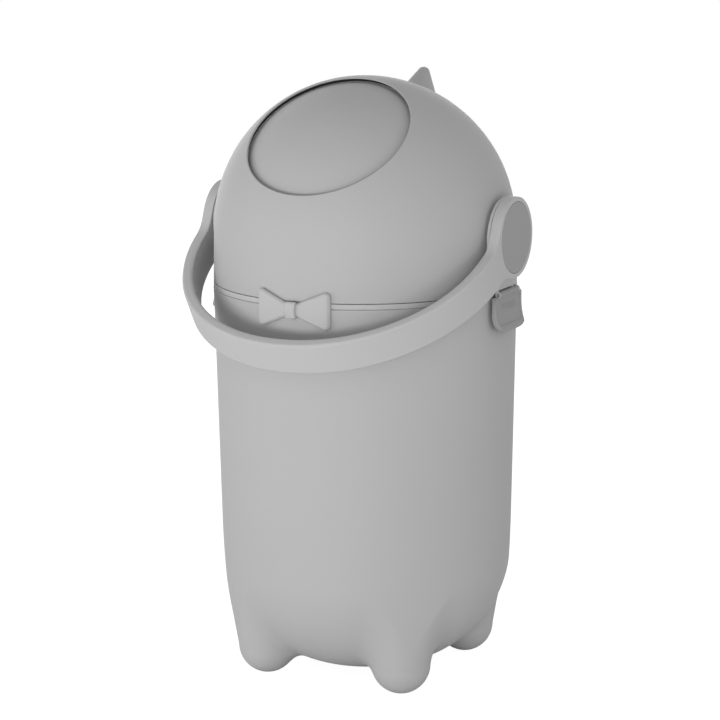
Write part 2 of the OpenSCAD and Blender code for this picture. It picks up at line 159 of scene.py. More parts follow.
# %% [markdown]
# ## Room and floor
# A product picture has a white ground, and more light on the object would be the wrong way to it.
# The room lights the object at a plain level, and is white only for the camera, for reflections and
# for what is seen through glass. The floor does the same with a glow that only the camera sees. A
# quarter of its true shade is kept, and that leaves the object its faint shadow.

# %% World and floor
ROOM_LIGHT = 0.56    # strength of the room's light on the object
WHITE = 1            # strength at which a background is white
FLOOR_GLOW = 1.27    # brings the shaded floor back up to white in the picture
GLOW_SHARE = 0.75    # how much of what the camera sees of the floor is that glow
FLOOR_SIZE = 6       # metres

world = bpy.data.worlds.new("studio")
bpy.context.scene.world = world
world.use_nodes = True
tree = world.node_tree
tree.nodes.clear()
path = add_node(tree, "ShaderNodeLightPath")
seen = add_node(tree, "ShaderNodeMath", {"operation": "MAXIMUM"},
                {0: path.outputs["Is Camera Ray"], 1: path.outputs["Is Transmission Ray"]})
seen = add_node(tree, "ShaderNodeMath", {"operation": "MAXIMUM"},
                {0: seen.outputs[0], 1: path.outputs["Is Glossy Ray"]})
room = add_node(tree, "ShaderNodeBackground", {"Color": linear("#ffffff"), "Strength": ROOM_LIGHT})
white = add_node(tree, "ShaderNodeBackground", {"Color": linear("#ffffff"), "Strength": WHITE})
both = add_node(tree, "ShaderNodeMixShader", {},
                {0: seen.outputs[0], 1: room.outputs[0], 2: white.outputs[0]})
add_node(tree, "ShaderNodeOutputWorld", {}, {"Surface": both.outputs[0]})

bpy.ops.mesh.primitive_plane_add(size=FLOOR_SIZE)
floor = bpy.context.object
floor.name = "floor"
floor_paint = bpy.data.materials.new("floor_paint")
floor_paint.use_nodes = True
tree = floor_paint.node_tree
tree.nodes.clear()
path = add_node(tree, "ShaderNodeLightPath")
matte = add_node(tree, "ShaderNodeBsdfDiffuse", {"Color": linear("#f0f0f0")})
glow = add_node(tree, "ShaderNodeEmission", {"Color": linear("#ffffff"), "Strength": FLOOR_GLOW})
share = add_node(tree, "ShaderNodeMath", {"operation": "MULTIPLY", 1: GLOW_SHARE},
                 {0: path.outputs["Is Camera Ray"]})
paper = add_node(tree, "ShaderNodeMixShader", {},
                 {0: share.outputs[0], 1: matte.outputs[0], 2: glow.outputs[0]})
add_node(tree, "ShaderNodeOutputMaterial", {}, {"Surface": paper.outputs[0]})
floor.data.materials.append(floor_paint)
print(f"floor {FLOOR_SIZE} m, room light {ROOM_LIGHT}")

# %% [markdown]
# ## Plastic
# Every outer part is injection-moulded polypropylene, dyed in the mass: one even mid grey. The
# mould was spark-eroded, and its fine pits leave a matt grain on the part. To the eye that is a
# soft, wide highlight and no sharp reflection. The colour could come from a picture, but a plain
# colour with faint clouds and a bump from noise keeps its sharpness at any distance. The grain is
# about 0.3 mm, too fine for a whole view, so it is drawn coarser, at 1.2 mm, and very shallow.

# %% Moulded plastic
PP_IOR = 1.49         # polypropylene
PP_SPECULAR = 0.12    # the matt grain scatters most of the mirror part of the light
MARKS_PER_M = 9       # clouds of about 110 mm, where the melt cooled at different speeds
MARKS_DARK, MARKS_LIGHT = 0.975, 1.02
GRAIN_MM = 1.2        # the real grain is about 0.3 mm
GRAIN_STRENGTH = 0.35

def moulded(name, colour, roughness, depth):
    """Moulded polypropylene: faint flow marks in the colour, and a grain of a depth in mm as a bump."""
    paint = bpy.data.materials.new(name)
    paint.use_nodes = True
    tree = paint.node_tree
    shader = tree.nodes["Principled BSDF"]
    shader.inputs["IOR"].default_value = PP_IOR
    shader.inputs["Roughness"].default_value = roughness
    shader.inputs["Specular IOR Level"].default_value = PP_SPECULAR
    place = add_node(tree, "ShaderNodeTexCoord").outputs["Object"]
    marks = add_node(tree, "ShaderNodeTexNoise", {"Scale": MARKS_PER_M, "Detail": 3, "Roughness": 0.5},
                     {"Vector": place})
    dark, light = linear(colour), linear(colour)
    for i in range(3):
        dark[i] *= MARKS_DARK
        light[i] *= MARKS_LIGHT
    tint = add_node(tree, "ShaderNodeMix", {"data_type": "RGBA", 6: dark, 7: light},
                    {0: marks.outputs["Fac"]})
    tree.links.new(tint.outputs[2], shader.inputs["Base Color"])
    grain = add_node(tree, "ShaderNodeTexNoise", {"Scale": 1 / (GRAIN_MM * MM), "Detail": 2},
                     {"Vector": place})
    bump = add_node(tree, "ShaderNodeBump", {"Strength": GRAIN_STRENGTH, "Distance": depth * MM},
                    {"Height": grain.outputs["Fac"]})
    tree.links.new(bump.outputs["Normal"], shader.inputs["Normal"])
    print(f"{name}: {colour}, roughness {roughness}")
    return paint

# Large matt mouldings, one grey: no glint, only the slow shade of their roundness.
tub_grey = moulded("tub_polypropylene", "#b6b6b6", 0.52, 0.06)
head_grey = moulded("head_polypropylene", "#b6b6b6", 0.52, 0.06)
drum_grey = moulded("drum_polypropylene", "#b6b6b6", 0.52, 0.06)
# Thicker mouldings with a finer grain, that the hand takes or that lie close to it: a little paler
# and smoother.
handle_grey = moulded("handle_polypropylene", "#bebebe", 0.50, 0.05)
collar_grey = moulded("collar_polypropylene", "#bebebe", 0.50, 0.05)
hub_grey = moulded("hub_polypropylene", "#bebebe", 0.50, 0.05)
bow_grey = moulded("bow_polypropylene", "#bcbcbc", 0.48, 0.04)
# Small mouldings with a shallow grain, in a darker grey that is painted shade: the shade of faces
# turned to the side, as the caps and the latches are. They stand out from the pad and the tub as
# flat tones.
cap_painted_shade = moulded("cap_polypropylene", "#a2a2a2", 0.50, 0.04)
latch_painted_shade = moulded("latch_polypropylene", "#9e9e9e", 0.50, 0.05)
# Inner mouldings from a polished mould: a shade darker, with a slight sheen.
inner_grey = moulded("inner_polypropylene", "#a0a0a2", 0.45, 0.06)

# %% [markdown]
# ## Shapes that flow into each other
# The tub runs into its feet and the dome into its horn with wide hollows, as parts from one mould
# do. Such a shape is easy to write as a field: a function that is negative inside, positive outside
# and measures roughly the distance to the surface. Two fields joined with a soft minimum blend with
# a fillet. A net of quads is then laid where the field changes sign, and its corners are pulled
# exactly onto the surface.

# %% Fields and nets
def soft_min(a, b, blend):
    """The smaller of two fields, rounded over where they are within blend of each other."""
    h = np.clip(0.5 + 0.5 * (b - a) / blend, 0, 1)
    return b + (a - b) * h - blend * h * (1 - h)

def ramp(value, low, high):
    """0 below low, 1 above high and a smooth rise between."""
    t = np.clip((value - low) / (high - low), 0, 1)
    return t * t * (3 - 2 * t)

def slope(field, points, step=0.05 * MM):
    """The field's gradient at some points."""
    shifts = np.eye(3) * step
    return np.stack([field(points + s) - field(points - s) for s in shifts], axis=-1) / (2 * step)

def unit(vectors):
    """Vectors of length one."""
    return vectors / np.maximum(np.linalg.norm(vectors, axis=-1, keepdims=True), 1e-12)

def settle(field, points, rounds=4):
    """Points pulled onto the surface along the gradient."""
    for _ in range(rounds):
        g = slope(field, points)
        points = points - field(points)[:, None] * g / np.maximum((g * g).sum(-1), 1e-6)[:, None]
    return points

def net(field, low, high, cell):
    """Quads over the surface where the field is zero, with one corner in each cell that it crosses."""
    counts = [int(round((b - a) / cell)) + 1 for a, b in zip(low, high)]
    ticks = [a + cell * np.arange(n) for a, n in zip(low, counts)]
    grid = np.stack(np.meshgrid(*ticks, indexing="ij"), axis=-1)
    value = field(grid)
    total = np.zeros([n - 1 for n in counts] + [3])
    hits = np.zeros([n - 1 for n in counts])
    crossings = []
    for axis in range(3):
        size = [slice(None)] * 3
        size[axis] = slice(0, -1)
        ahead = list(size)
        ahead[axis] = slice(1, None)
        a, b = value[tuple(size)], value[tuple(ahead)]
        crosses = (a < 0) != (b < 0)
        part = np.where(crosses, a / np.where(crosses, a - b, 1), 0)
        at = grid[tuple(size)].copy()
        at[..., axis] += part * cell
        u, v = [k for k in range(3) if k != axis]
        for du in (0, 1):
            for dv in (0, 1):
                cut = [slice(None)] * 3
                cut[u] = slice(du, counts[u] - 1 + du)
                cut[v] = slice(dv, counts[v] - 1 + dv)
                there = crosses[tuple(cut)]
                total += np.where(there[..., None], at[tuple(cut)], 0)
                hits += there
        crossings.append((crosses, a < 0))
    used = hits > 0
    number = np.cumsum(used).reshape(used.shape) - 1
    points = settle(field, total[used] / hits[used][:, None])
    faces = []
    for axis in range(3):
        crosses, inside = crossings[axis]
        u, v = (axis + 1) % 3, (axis + 2) % 3
        spots = np.argwhere(crosses)
        keep = np.ones(len(spots), bool)
        for k in (u, v):
            keep &= (spots[:, k] > 0) & (spots[:, k] < counts[k] - 1)
        spots = spots[keep]
        quad = []
        for du, dv in ((1, 1), (0, 1), (0, 0), (1, 0)):
            cell_at = spots.copy()
            cell_at[:, u] -= du
            cell_at[:, v] -= dv
            quad.append(number[tuple(cell_at.T)])
        quad = np.stack(quad, axis=1)
        flip = ~inside[tuple(spots.T)]
        quad[flip] = quad[flip][:, ::-1]
        faces.append(quad)
    return points, np.concatenate(faces)

def mount(name, mesh, body, replaced=()):
    """An object from a finished mesh, riding on a body and standing in for parts of the frame."""
    obj = bpy.data.objects.new(name, mesh)
    bpy.context.collection.objects.link(obj)
    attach(obj, body)
    if replaced:
        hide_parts(*replaced)
    print(f"{name}: {len(mesh.vertices)} points, {len(mesh.polygons)} faces")

def add_piece(name, skin, material, body, replaced=()):
    """A mesh object from a skin, smooth shaded by the skin's own normals, riding on a body."""
    used = np.unique(skin.faces)
    number = np.full(len(skin.points), -1)
    number[used] = np.arange(len(used))
    faces = [[int(n) for k, n in enumerate(f) if n != f[k - 1]] for f in number[skin.faces]]
    faces = [f for f in faces if len(f) > 2]
    mesh = bpy.data.meshes.new(name)
    mesh.from_pydata(skin.points[used].tolist(), [], faces)
    mesh.materials.append(material)
    mesh.shade_smooth()
    mesh.normals_split_custom_set_from_vertices(skin.normals[used].tolist())
    mount(name, mesh, body, replaced)

# %% [markdown]
# ## From a skin to a wall
# A net is a skin with no thickness, and where it is cut its edge is ragged. The real part is a 3 mm
# wall whose free edges are rounded. So an open edge is first drawn onto its exact circle. Then rows
# of quads carry it on, and at last the skin is copied inwards and each open edge is joined to its
# copy by a strip that turns the corner. A Solidify modifier could give the wall too, but its rim
# would stay square, and the dome's lip has to grow thicker away from the opening.

# %% Open edges and walls
class Skin:
    """Points, quads and normals of a surface, with what is done to its open edges."""

    def __init__(self, points, faces, normals):
        self.points, self.faces, self.normals = points, faces, normals

    def drop(self, inside):
        """Takes away every quad with a point where inside is true."""
        self.faces = self.faces[~inside[self.faces].any(axis=1)]

    def open_edges(self, near=None):
        """Directed edges that only one quad uses, all of them or those whose points are near."""
        f = self.faces
        edges = np.concatenate([np.stack([f[:, i], f[:, (i + 1) % 4]], 1) for i in range(4)])
        edges = edges[edges[:, 0] != edges[:, 1]]
        reach = edges.max() + 1
        code, twin = edges[:, 0] * reach + edges[:, 1], edges[:, 1] * reach + edges[:, 0]
        edges = edges[~np.isin(code, twin)]
        return edges if near is None else edges[near[edges].all(axis=1)]

    def to_circle(self, edges, centre, axis, radius, rounds=6):
        """Draws an open edge onto a circle and returns the direction of each of its points."""
        rim = np.unique(edges)
        place = np.full(len(self.points), -1)
        place[rim] = np.arange(len(rim))
        after, before = np.empty(len(rim), int), np.empty(len(rim), int)
        after[place[edges[:, 0]]] = place[edges[:, 1]]
        before[place[edges[:, 1]]] = place[edges[:, 0]]
        centre, axis = np.array(centre), np.array(axis)
        spoke = self.points[rim] - centre
        spoke = unit(spoke - (spoke @ axis)[:, None] * axis)
        for _ in range(rounds):
            spoke = unit(spoke[before] + 2 * spoke + spoke[after])
        self.points[rim] = centre + radius * spoke
        return spoke

    def add_rows(self, edges, rows, last=None):
        """Strips of quads from an open edge through rows of (points, normals), and on to points it has."""
        rim = np.unique(edges)
        place = np.full(len(self.points), -1)
        place[rim] = np.arange(len(rim))
        a, b = place[edges[:, 0]], place[edges[:, 1]]
        numbers = [rim]
        for points, normals in rows:
            numbers.append(len(self.points) + np.arange(len(rim)))
            self.points = np.concatenate([self.points, points])
            self.normals = np.concatenate([self.normals, normals])
        if last is not None:
            numbers.append(last)
        strips = [np.stack([low[b], low[a], high[a], high[b]], 1)
                  for low, high in zip(numbers, numbers[1:])]
        self.faces = np.concatenate([self.faces] + strips)
        return np.stack([numbers[-1][a], numbers[-1][b]], 1)

    def round_rows(self, rim, out, radius, steps=5, angle=90):
        """Rows that turn from the surface through an angle, with a rounding of the given radius."""
        base, n = self.points[rim], self.normals[rim]
        rows = []
        for k in range(1, steps + 1):
            turn = math.radians(angle) * k / steps
            rows.append((base + out * radius * math.sin(turn) - n * radius * (1 - math.cos(turn)),
                         unit(out * math.sin(turn) + n * math.cos(turn))))
        return rows

    def thicken(self, wall, loops):
        """Closes the skin: a copy one wall further in, and a rounded strip along each open edge.

        Where the wall is as thin as the rounding is wide, the edge turns right round to the copy.
        """
        start = len(self.points)
        wall = np.broadcast_to(wall, start)[:, None]
        self.points = np.concatenate([self.points, self.points - self.normals * wall])
        self.normals = np.concatenate([self.normals, -self.normals])
        outer = self.faces
        for edges, out, radius in loops:
            rim = np.unique(edges)
            base, n, thick = self.points[rim], self.normals[rim], wall[rim]
            if thick.max() > 2.01 * radius:  # a quarter turn, the wall's edge, and a bevel inside
                rows = self.round_rows(rim, out, radius)
                rows.append((base + out * radius - n * (thick - radius * 0.4), unit(out - n * 0.3)))
                rows.append((base + out * radius * 0.6 - n * thick, unit(out - n)))
            else:
                rows = self.round_rows(rim, out, radius, steps=10, angle=180)[:-1]
            self.add_rows(edges, rows, start + rim)
        self.faces = np.concatenate([self.faces, outer[:, ::-1] + start])

def field_skin(field, low, high, cell):
    """The net over a field's surface, with the field's own normals."""
    points, faces = net(field, low, high, cell)
    return Skin(points, faces, unit(slope(field, points)))

# %% [markdown]
# ## Tub
# The tub is a slightly tapered pail with a bowl for its bottom. Its four feet aren't added posts:
# the wall bulges down into them, with a hollow between neighbours. Posts joined with a boolean
# would leave a hard line, and sculpting would not come out the same twice. A soft minimum of the
# bowl and four round posts gives that flow.

# %% Tub field
TAPER = 0.02             # radius lost per metre of depth
BOWL_R = 95.4 * MM       # the bowl's rounding between wall and bottom
BOTTOM_Z = 5.2 * MM      # the bottom's height over the floor
FOOT_RING_R = 84.3 * MM  # from the tub's axis to each foot's
FOOT_R = 23.2 * MM
FOOT_Z = 22.5 * MM       # where the post's round end begins
FOOT_SPREAD = 0.17       # how much a post widens upwards
FOOT_BLEND = 12 * MM
TUCK = 9.2 * MM          # how far the outline draws in at the floor
TUCK_Z = 122 * MM        # where it begins to
TUCK_BLEND = 0.5 * MM
WALL = 3 * MM
BOWL_Z = BOTTOM_Z + BOWL_R

def wall_radius(z):
    """The tub's outer radius at a height."""
    return TUB_R - TAPER * (RIM_Z - z)

def tub_field(p):
    """Bowl and wall, softly joined to four feet, inside an envelope that draws in towards the floor."""
    ring, z = np.hypot(p[..., 0], p[..., 1]), p[..., 2]
    bowl_x = wall_radius(BOWL_Z) - BOWL_R
    low = np.minimum(z - BOWL_Z, 0)
    across = np.maximum(ring - bowl_x, 0)
    round_part = np.where(ring > bowl_x, np.hypot(across, low), -low) - BOWL_R
    bowl = np.where(z < BOWL_Z, round_part, ring - wall_radius(z))
    side = np.hypot(*(np.abs(p[..., i]) - FOOT_RING_R * math.sqrt(0.5) for i in (0, 1)))
    foot = np.hypot(side, np.minimum(z - FOOT_Z, 0)) - FOOT_R - FOOT_SPREAD * np.maximum(z - FOOT_Z, 0)
    envelope = ring - wall_radius(z) + TUCK * np.clip(1 - z / TUCK_Z, 0, 1) ** 2
    return -soft_min(-soft_min(bowl, foot, FOOT_BLEND), -envelope, TUCK_BLEND)

# %% Tub skin
NET_REACH = 124 * MM    # half the width of the room for the nets of tub and dome
NET_BOTTOM_Z, NET_TOP_Z = -4 * MM, 126 * MM
cell = 2.2 * MM
tub = field_skin(tub_field, (-NET_REACH, -NET_REACH, NET_BOTTOM_Z), (NET_REACH, NET_REACH, NET_TOP_Z), cell)
print("tub net", len(tub.points), tub.points.min(0), tub.points.max(0))

# %% [markdown]
# ## The tub's wall and rim
# Above the bowl the wall is plain, and a net would waste quads on it. So the net's cut edge is
# drawn onto its circle and rows of long quads carry it up to the rim. The skin then gets its 3 mm
# wall and a rounded rim.

# %% Tub wall and rim
RIM_ROUND = 0.7 * MM
WALL_LEVELS = 30

def wall_rows(spoke, radius_at, heights):
    """Rows of points on a round wall at each height."""
    rows = []
    for z in heights:
        row = spoke * radius_at(z)
        row[:, 2] = z
        rows.append((row, spoke))
    return rows

edges = tub.open_edges()
start_z = tub.points[np.unique(edges), 2].mean()
spoke = tub.to_circle(edges, (0, 0, start_z), (0, 0, 1), wall_radius(start_z))
heights = np.linspace(start_z, RIM_Z - RIM_ROUND, WALL_LEVELS)[1:]
edges = tub.add_rows(edges, wall_rows(spoke, wall_radius, heights))
up = np.tile((0.0, 0.0, 1.0), (len(spoke), 1))
tub.thicken(WALL, [(edges, up, RIM_ROUND)])
tub.points[:, 2] = np.maximum(tub.points[:, 2], tub_low.z)
add_piece("tub", tub, tub_grey, "bin", ["bin_body"])

# %% [markdown]
# ## Dome
# The head is a dome of one mould: a ball above, a nearly straight skirt below, and a short horn at
# the back that leaves the ball with a small hollow round its root. A ball and a cone could be
# joined and their seam bevelled, but a bevel is not as soft as the hollow of a mould. So it is
# again a soft minimum of two fields.

# %% Dome field
RIM_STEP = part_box("collar_ring")[1].y - DOME_R   # the skirt widens by this much down to the collar
SKIRT = AXIS_Z - DOME_RIM_Z
HORN_ROOT = np.array((0, 88.1, 80)) * MM         # from the drum's middle
HORN_LEAN = math.radians(60)                     # from level
HORN_TIP_AT = 38 * MM                            # along the horn from its root
HORN_TIP_R = 5 * MM
HORN_SIDE = math.radians(26.57)                  # between the horn's axis and its side
HORN_BLEND = 5 * MM

def skirt_radius(z):
    """The dome's outer radius at a height below its ball."""
    return DOME_R + RIM_STEP * np.clip((AXIS_Z - z) / SKIRT, 0, None)

def dome_field(p):
    """The ball and its skirt, softly joined to the horn."""
    q = p - np.array((0, 0, AXIS_Z))
    ring = np.hypot(q[..., 0], q[..., 1])
    ball = np.where(q[..., 2] > 0, np.hypot(ring, q[..., 2]) - DOME_R, ring - skirt_radius(p[..., 2]))
    q = q - HORN_ROOT
    along = q[..., 1] * math.cos(HORN_LEAN) + q[..., 2] * math.sin(HORN_LEAN) - HORN_TIP_AT
    side = np.hypot(q[..., 0], q[..., 1] * math.sin(HORN_LEAN) - q[..., 2] * math.cos(HORN_LEAN))
    past_tip = along * math.cos(HORN_SIDE) - side * math.sin(HORN_SIDE) > 0
    cone = side * math.cos(HORN_SIDE) + along * math.sin(HORN_SIDE)
    horn = np.where(past_tip, np.hypot(side, along), cone) - HORN_TIP_R
    return soft_min(ball, horn, HORN_BLEND)

# %% Dome skin
NET_UNDER_AXIS = 14 * MM    # how far the net follows the skirt down
NET_OVER = 8 * MM           # room for the horn behind and above the ball
cell = 2.2 * MM
dome = field_skin(dome_field, (-NET_REACH, -NET_REACH, AXIS_Z - NET_UNDER_AXIS),
                  (NET_REACH, NET_REACH + NET_OVER, AXIS_Z + DOME_R + NET_OVER), cell)
print("dome net", len(dome.points), dome.points.min(0), dome.points.max(0))

# %% [markdown]
# ## The opening
# The real opening is a hole in the mould with a thin rounded lip, and the drum turns close under
# it. A boolean with a cylinder would leave slivers along the cut. Here the quads inside the circle
# are dropped, the ragged edge that is left is drawn onto the true circle, and the wall grows from
# the thin lip to its full 3 mm further out.

# %% Dome opening and wall
OPENING_TURN = math.radians(52.4)   # the opening's tilt above level, towards the front
OPENING_R = 64.7 * MM
OPENING_ROUND = 0.8 * MM
LIP_START = 1.39                    # roundings from the opening to where its lip leaves the ball
LIP_END, FULL_WALL = 69 * MM, 78 * MM
EDGE_CELLS = 3                      # cells beyond the cut that still count as near it
SKIRT_LEVELS = 6
opening = np.array((0, -math.cos(OPENING_TURN), math.sin(OPENING_TURN)))
axis_point = np.array((0, 0, AXIS_Z))

def from_axis(points, axis):
    """How far along an axis through the drum's middle the points are, and how far from it."""
    along = (points - axis_point) @ axis
    return along, np.linalg.norm(points - axis_point - along[:, None] * axis, axis=1)

edge_r = OPENING_R + OPENING_ROUND * LIP_START
along, off = from_axis(dome.points, opening)
dome.drop((along > 0) & (off < edge_r))
near = (along > 0) & (off < edge_r + EDGE_CELLS * cell)
round_edge = dome.open_edges(near)
depth = math.sqrt(DOME_R ** 2 - edge_r ** 2)
dome.to_circle(round_edge, axis_point + opening * depth, opening, edge_r)
low_edge = dome.open_edges(~near)
start_z = dome.points[np.unique(low_edge), 2].mean()
spoke = dome.to_circle(low_edge, (0, 0, start_z), (0, 0, 1), skirt_radius(start_z))
dome.normals = unit(slope(dome_field, dome.points))
heights = np.linspace(start_z, DOME_RIM_Z + RIM_ROUND, SKIRT_LEVELS)[1:]
low_edge = dome.add_rows(low_edge, wall_rows(spoke, skirt_radius, heights))
rim = np.unique(round_edge)
towards = unit(opening - (dome.normals[rim] @ opening)[:, None] * dome.normals[rim])
down = np.tile((0.0, 0.0, -1.0), (len(spoke), 1))
along, off = from_axis(dome.points, opening)
lip_wall = 2 * OPENING_ROUND + (WALL - 2 * OPENING_ROUND) * ramp(off, LIP_END, FULL_WALL)
wall = np.where(along > 0, lip_wall, WALL)
dome.thicken(wall, [(round_edge, towards, OPENING_ROUND), (low_edge, down, RIM_ROUND)])
add_piece("dome", dome, head_grey, "head", ["dome_shell"])

# %% [markdown]
# ## Handle
# A flat strap runs round the front in a half circle and widens into a round pad over each hub. Seen
# from the side the pad and the strap are one outline, softly joined. The strap's thickness is
# measured across the half circle, so the whole handle is one field in three lengths: across the
# strap, along its width, and along the pad's side view. A net would leave its crisp edges ragged,
# so its points are laid out as a grid whose lines run along the edges, and only then pulled onto
# the field.

# %% Handle field
HANDLE_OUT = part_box("handle")[1].x
STRAP = 8.5 * MM          # thickness
STRAP_W = 28 * MM         # width
ARM = 32.5 * MM           # straight stretch from the pad's middle to the half circle
DROP = math.radians(30)   # how far the handle hangs below level at rest
PAD_R = 31.3 * MM
PAD_BLEND = 12 * MM
FULLNESS = 2.07           # 2 would be a true half circle, more is squarer
FRONT_LIFT = 1 * MM       # the strap's middle rises by this much round the front
LIFT_FROM, LIFT_TO = 70 * MM, 160 * MM
CRISP_EDGE, SOFTER_BY = 0.8, 1.4   # mm
CRISP_TO, SOFT_FROM = 40 * MM, 100 * MM
STRAP_MID = HANDLE_OUT - STRAP / 2
forward = np.array((0, -math.cos(DROP), -math.sin(DROP)))
wide = np.array((0, -math.sin(DROP), math.cos(DROP)))

def rounded(a, b, radius):
    """Where two fields cross, the edge rounded to a radius: both fields are negative inside."""
    a, b = a + radius, b + radius
    return np.minimum(np.maximum(a, b), 0) + np.hypot(np.maximum(a, 0), np.maximum(b, 0)) - radius

def strap_lift(v):
    """How far the strap's middle lies above the handle's plane."""
    return FRONT_LIFT * ramp(v, LIFT_FROM, LIFT_TO)

def edge_radius(v):
    """The handle's edges are crisp at the pads and softer round the front, where the hand takes it."""
    return (CRISP_EDGE + SOFTER_BY * ramp(v, CRISP_TO, SOFT_FROM)) * MM

def side_view(v, b):
    """Distance to the handle's outline as it is seen from the side."""
    strap = np.maximum(np.abs(b - strap_lift(v)) - STRAP_W / 2, -v)
    return soft_min(strap, np.hypot(v, b) - PAD_R, PAD_BLEND)

def handle_field(p):
    """The side view, run across the strap's bent thickness."""
    q = p - axis_point
    u, v, b = q[..., 0], q @ forward, q @ wide
    bow = (np.abs(u) ** FULLNESS + np.maximum(v - ARM, 0) ** FULLNESS) ** (1 / FULLNESS)
    return rounded(np.abs(bow - STRAP_MID) - STRAP / 2, side_view(v, b), edge_radius(v))

# %% [markdown]
# ## The handle's grid
# Stations run from the back of the pad along the arm to the middle of the front. At each of them a
# ring of points goes across the outer face, round an edge, across the inner face and round the
# other edge. The first half is mirrored to the left, and the two share the ring at the front, so
# the seam is closed.

# %% The outline seen from the side
OUTLINE_REACH = 45 * MM    # further out than any point of the outline
HALVINGS = 40

def edge_at(v, side):
    """Where the side view's outline lies above (1) or below (-1) the strap's middle, found by halving."""
    near = strap_lift(v)
    far = near + side * OUTLINE_REACH
    for _ in range(HALVINGS):
        half = (near + far) / 2
        inside = side_view(v, half) < 0
        near, far = np.where(inside, half, near), np.where(inside, far, half)
    return near

def outline_normal(v, b, step=0.05 * MM):
    """The outline's outward direction at some of its points."""
    g = np.stack([side_view(v + step, b) - side_view(v - step, b),
                  side_view(v, b + step) - side_view(v, b - step)], -1)
    return unit(g)

# %% Handle laid out as a grid
FACE_COLUMNS, CORNER_STEPS = 31, 4
PAD_STATIONS, ARM_STATIONS, BEND_STATIONS = 25, 17, 61

def handle_ring():
    """The ring's points: place across (-1 to 1), inset in edge radii, depth in straps and in edge radii."""
    columns = np.sin(np.linspace(-math.pi / 2, math.pi / 2, FACE_COLUMNS))
    corner = np.linspace(0, math.pi / 2, CORNER_STEPS + 1)
    ring = [(c, 1, 0, 0) for c in columns]
    ring += [(1, 1 - math.sin(t), 0, 1 - math.cos(t)) for t in corner[1:]]
    ring += [(1, 0, 0.5, 0)]
    ring += [(1, 1 - math.cos(t), 1, math.sin(t) - 1) for t in corner[:-1]]
    ring += [(c, 1, 1, 0) for c in columns[::-1]]
    chain = ring[FACE_COLUMNS:-FACE_COLUMNS]
    return ring + [(-c, e, deep, d) for c, e, deep, d in chain[::-1]], len(chain)

def handle_grid(ring):
    """The right half: stations from the pad's back to the front, and the ring of points at each."""
    turn = np.linspace(0, math.pi / 2, PAD_STATIONS)[:-1]
    arm = np.linspace(0, ARM, ARM_STATIONS)[:-1]
    path = np.concatenate([arm, ARM + STRAP_MID * np.linspace(0, math.pi / 2, BEND_STATIONS)])
    bend = np.clip((path - ARM) / STRAP_MID, 0, None)
    v = np.minimum(path, ARM) + STRAP_MID * np.sin(bend)
    edges = [np.concatenate([side * PAD_R * np.sin(turn), edge_at(v, side)]) for side in (1, -1)]
    path = np.concatenate([-PAD_R * np.cos(turn), path])
    v = np.concatenate([-PAD_R * np.cos(turn), v])
    r = edge_radius(v)
    points = []
    for c, inset, deep, d in ring:
        spot = 0
        for side, edge in zip((1, -1), edges):
            rim = np.stack([path, edge], -1) - (inset * r)[:, None] * outline_normal(v, edge)
            spot = spot + rim * (1 + side * c) / 2
        out = HANDLE_OUT - deep * STRAP - d * r
        bend = np.clip((spot[:, 0] - ARM) / STRAP_MID, 0, None)
        bend[-1] = math.pi / 2
        along = np.minimum(spot[:, 0], ARM) + out * np.sin(bend)
        points.append(np.stack([out * np.cos(bend), along, spot[:, 1]], -1))
    uvb = np.stack(points, axis=1)
    world = axis_point + uvb @ np.stack([np.array((1.0, 0, 0)), forward, wide])
    return settle(handle_field, world.reshape(-1, 3), 6).reshape(world.shape)

# %% Handle skin
ring, chain = handle_ring()
grid = handle_grid(ring)
stations, items = grid.shape[:2]
grid[-1, :, 0] = 0
number = np.arange(stations * items).reshape(stations, items)
# At the pad's back the faces and edges shrink to one chain of points, which both sides use.
number[0, :FACE_COLUMNS] = number[0, 0]
number[0, FACE_COLUMNS + chain:2 * FACE_COLUMNS + chain] = number[0, FACE_COLUMNS + chain]
number[0, 2 * FACE_COLUMNS + chain:] = number[0, FACE_COLUMNS:FACE_COLUMNS + chain][::-1]
mirrored = number + stations * items
mirrored[-1] = number[-1]
faces = []
for n, order in ((number, 1), (mirrored, -1)):
    after = np.roll(n, -1, axis=1)
    quads = np.stack([n[:-1], after[:-1], after[1:], n[1:]], -1).reshape(-1, 4)
    faces.append(quads[:, ::order])
points = grid.reshape(-1, 3)
points = np.concatenate([points, points * (-1, 1, 1)])
handle = Skin(points, np.concatenate(faces), unit(slope(handle_field, points)))
print("handle grid", stations, "by", items, points.min(0), points.max(0))

# %% [markdown]
# ## Wells for the caps
# A flat cap hides the axle's screw at each pad, and it lies in a shallow round well so that only a
# fine line shows between them. The well is made on the handle's own skin: a disc of quads is
# dropped from the pad's face, its edge drawn onto a circle, and rows turn down the wall and in over
# the well's bottom.

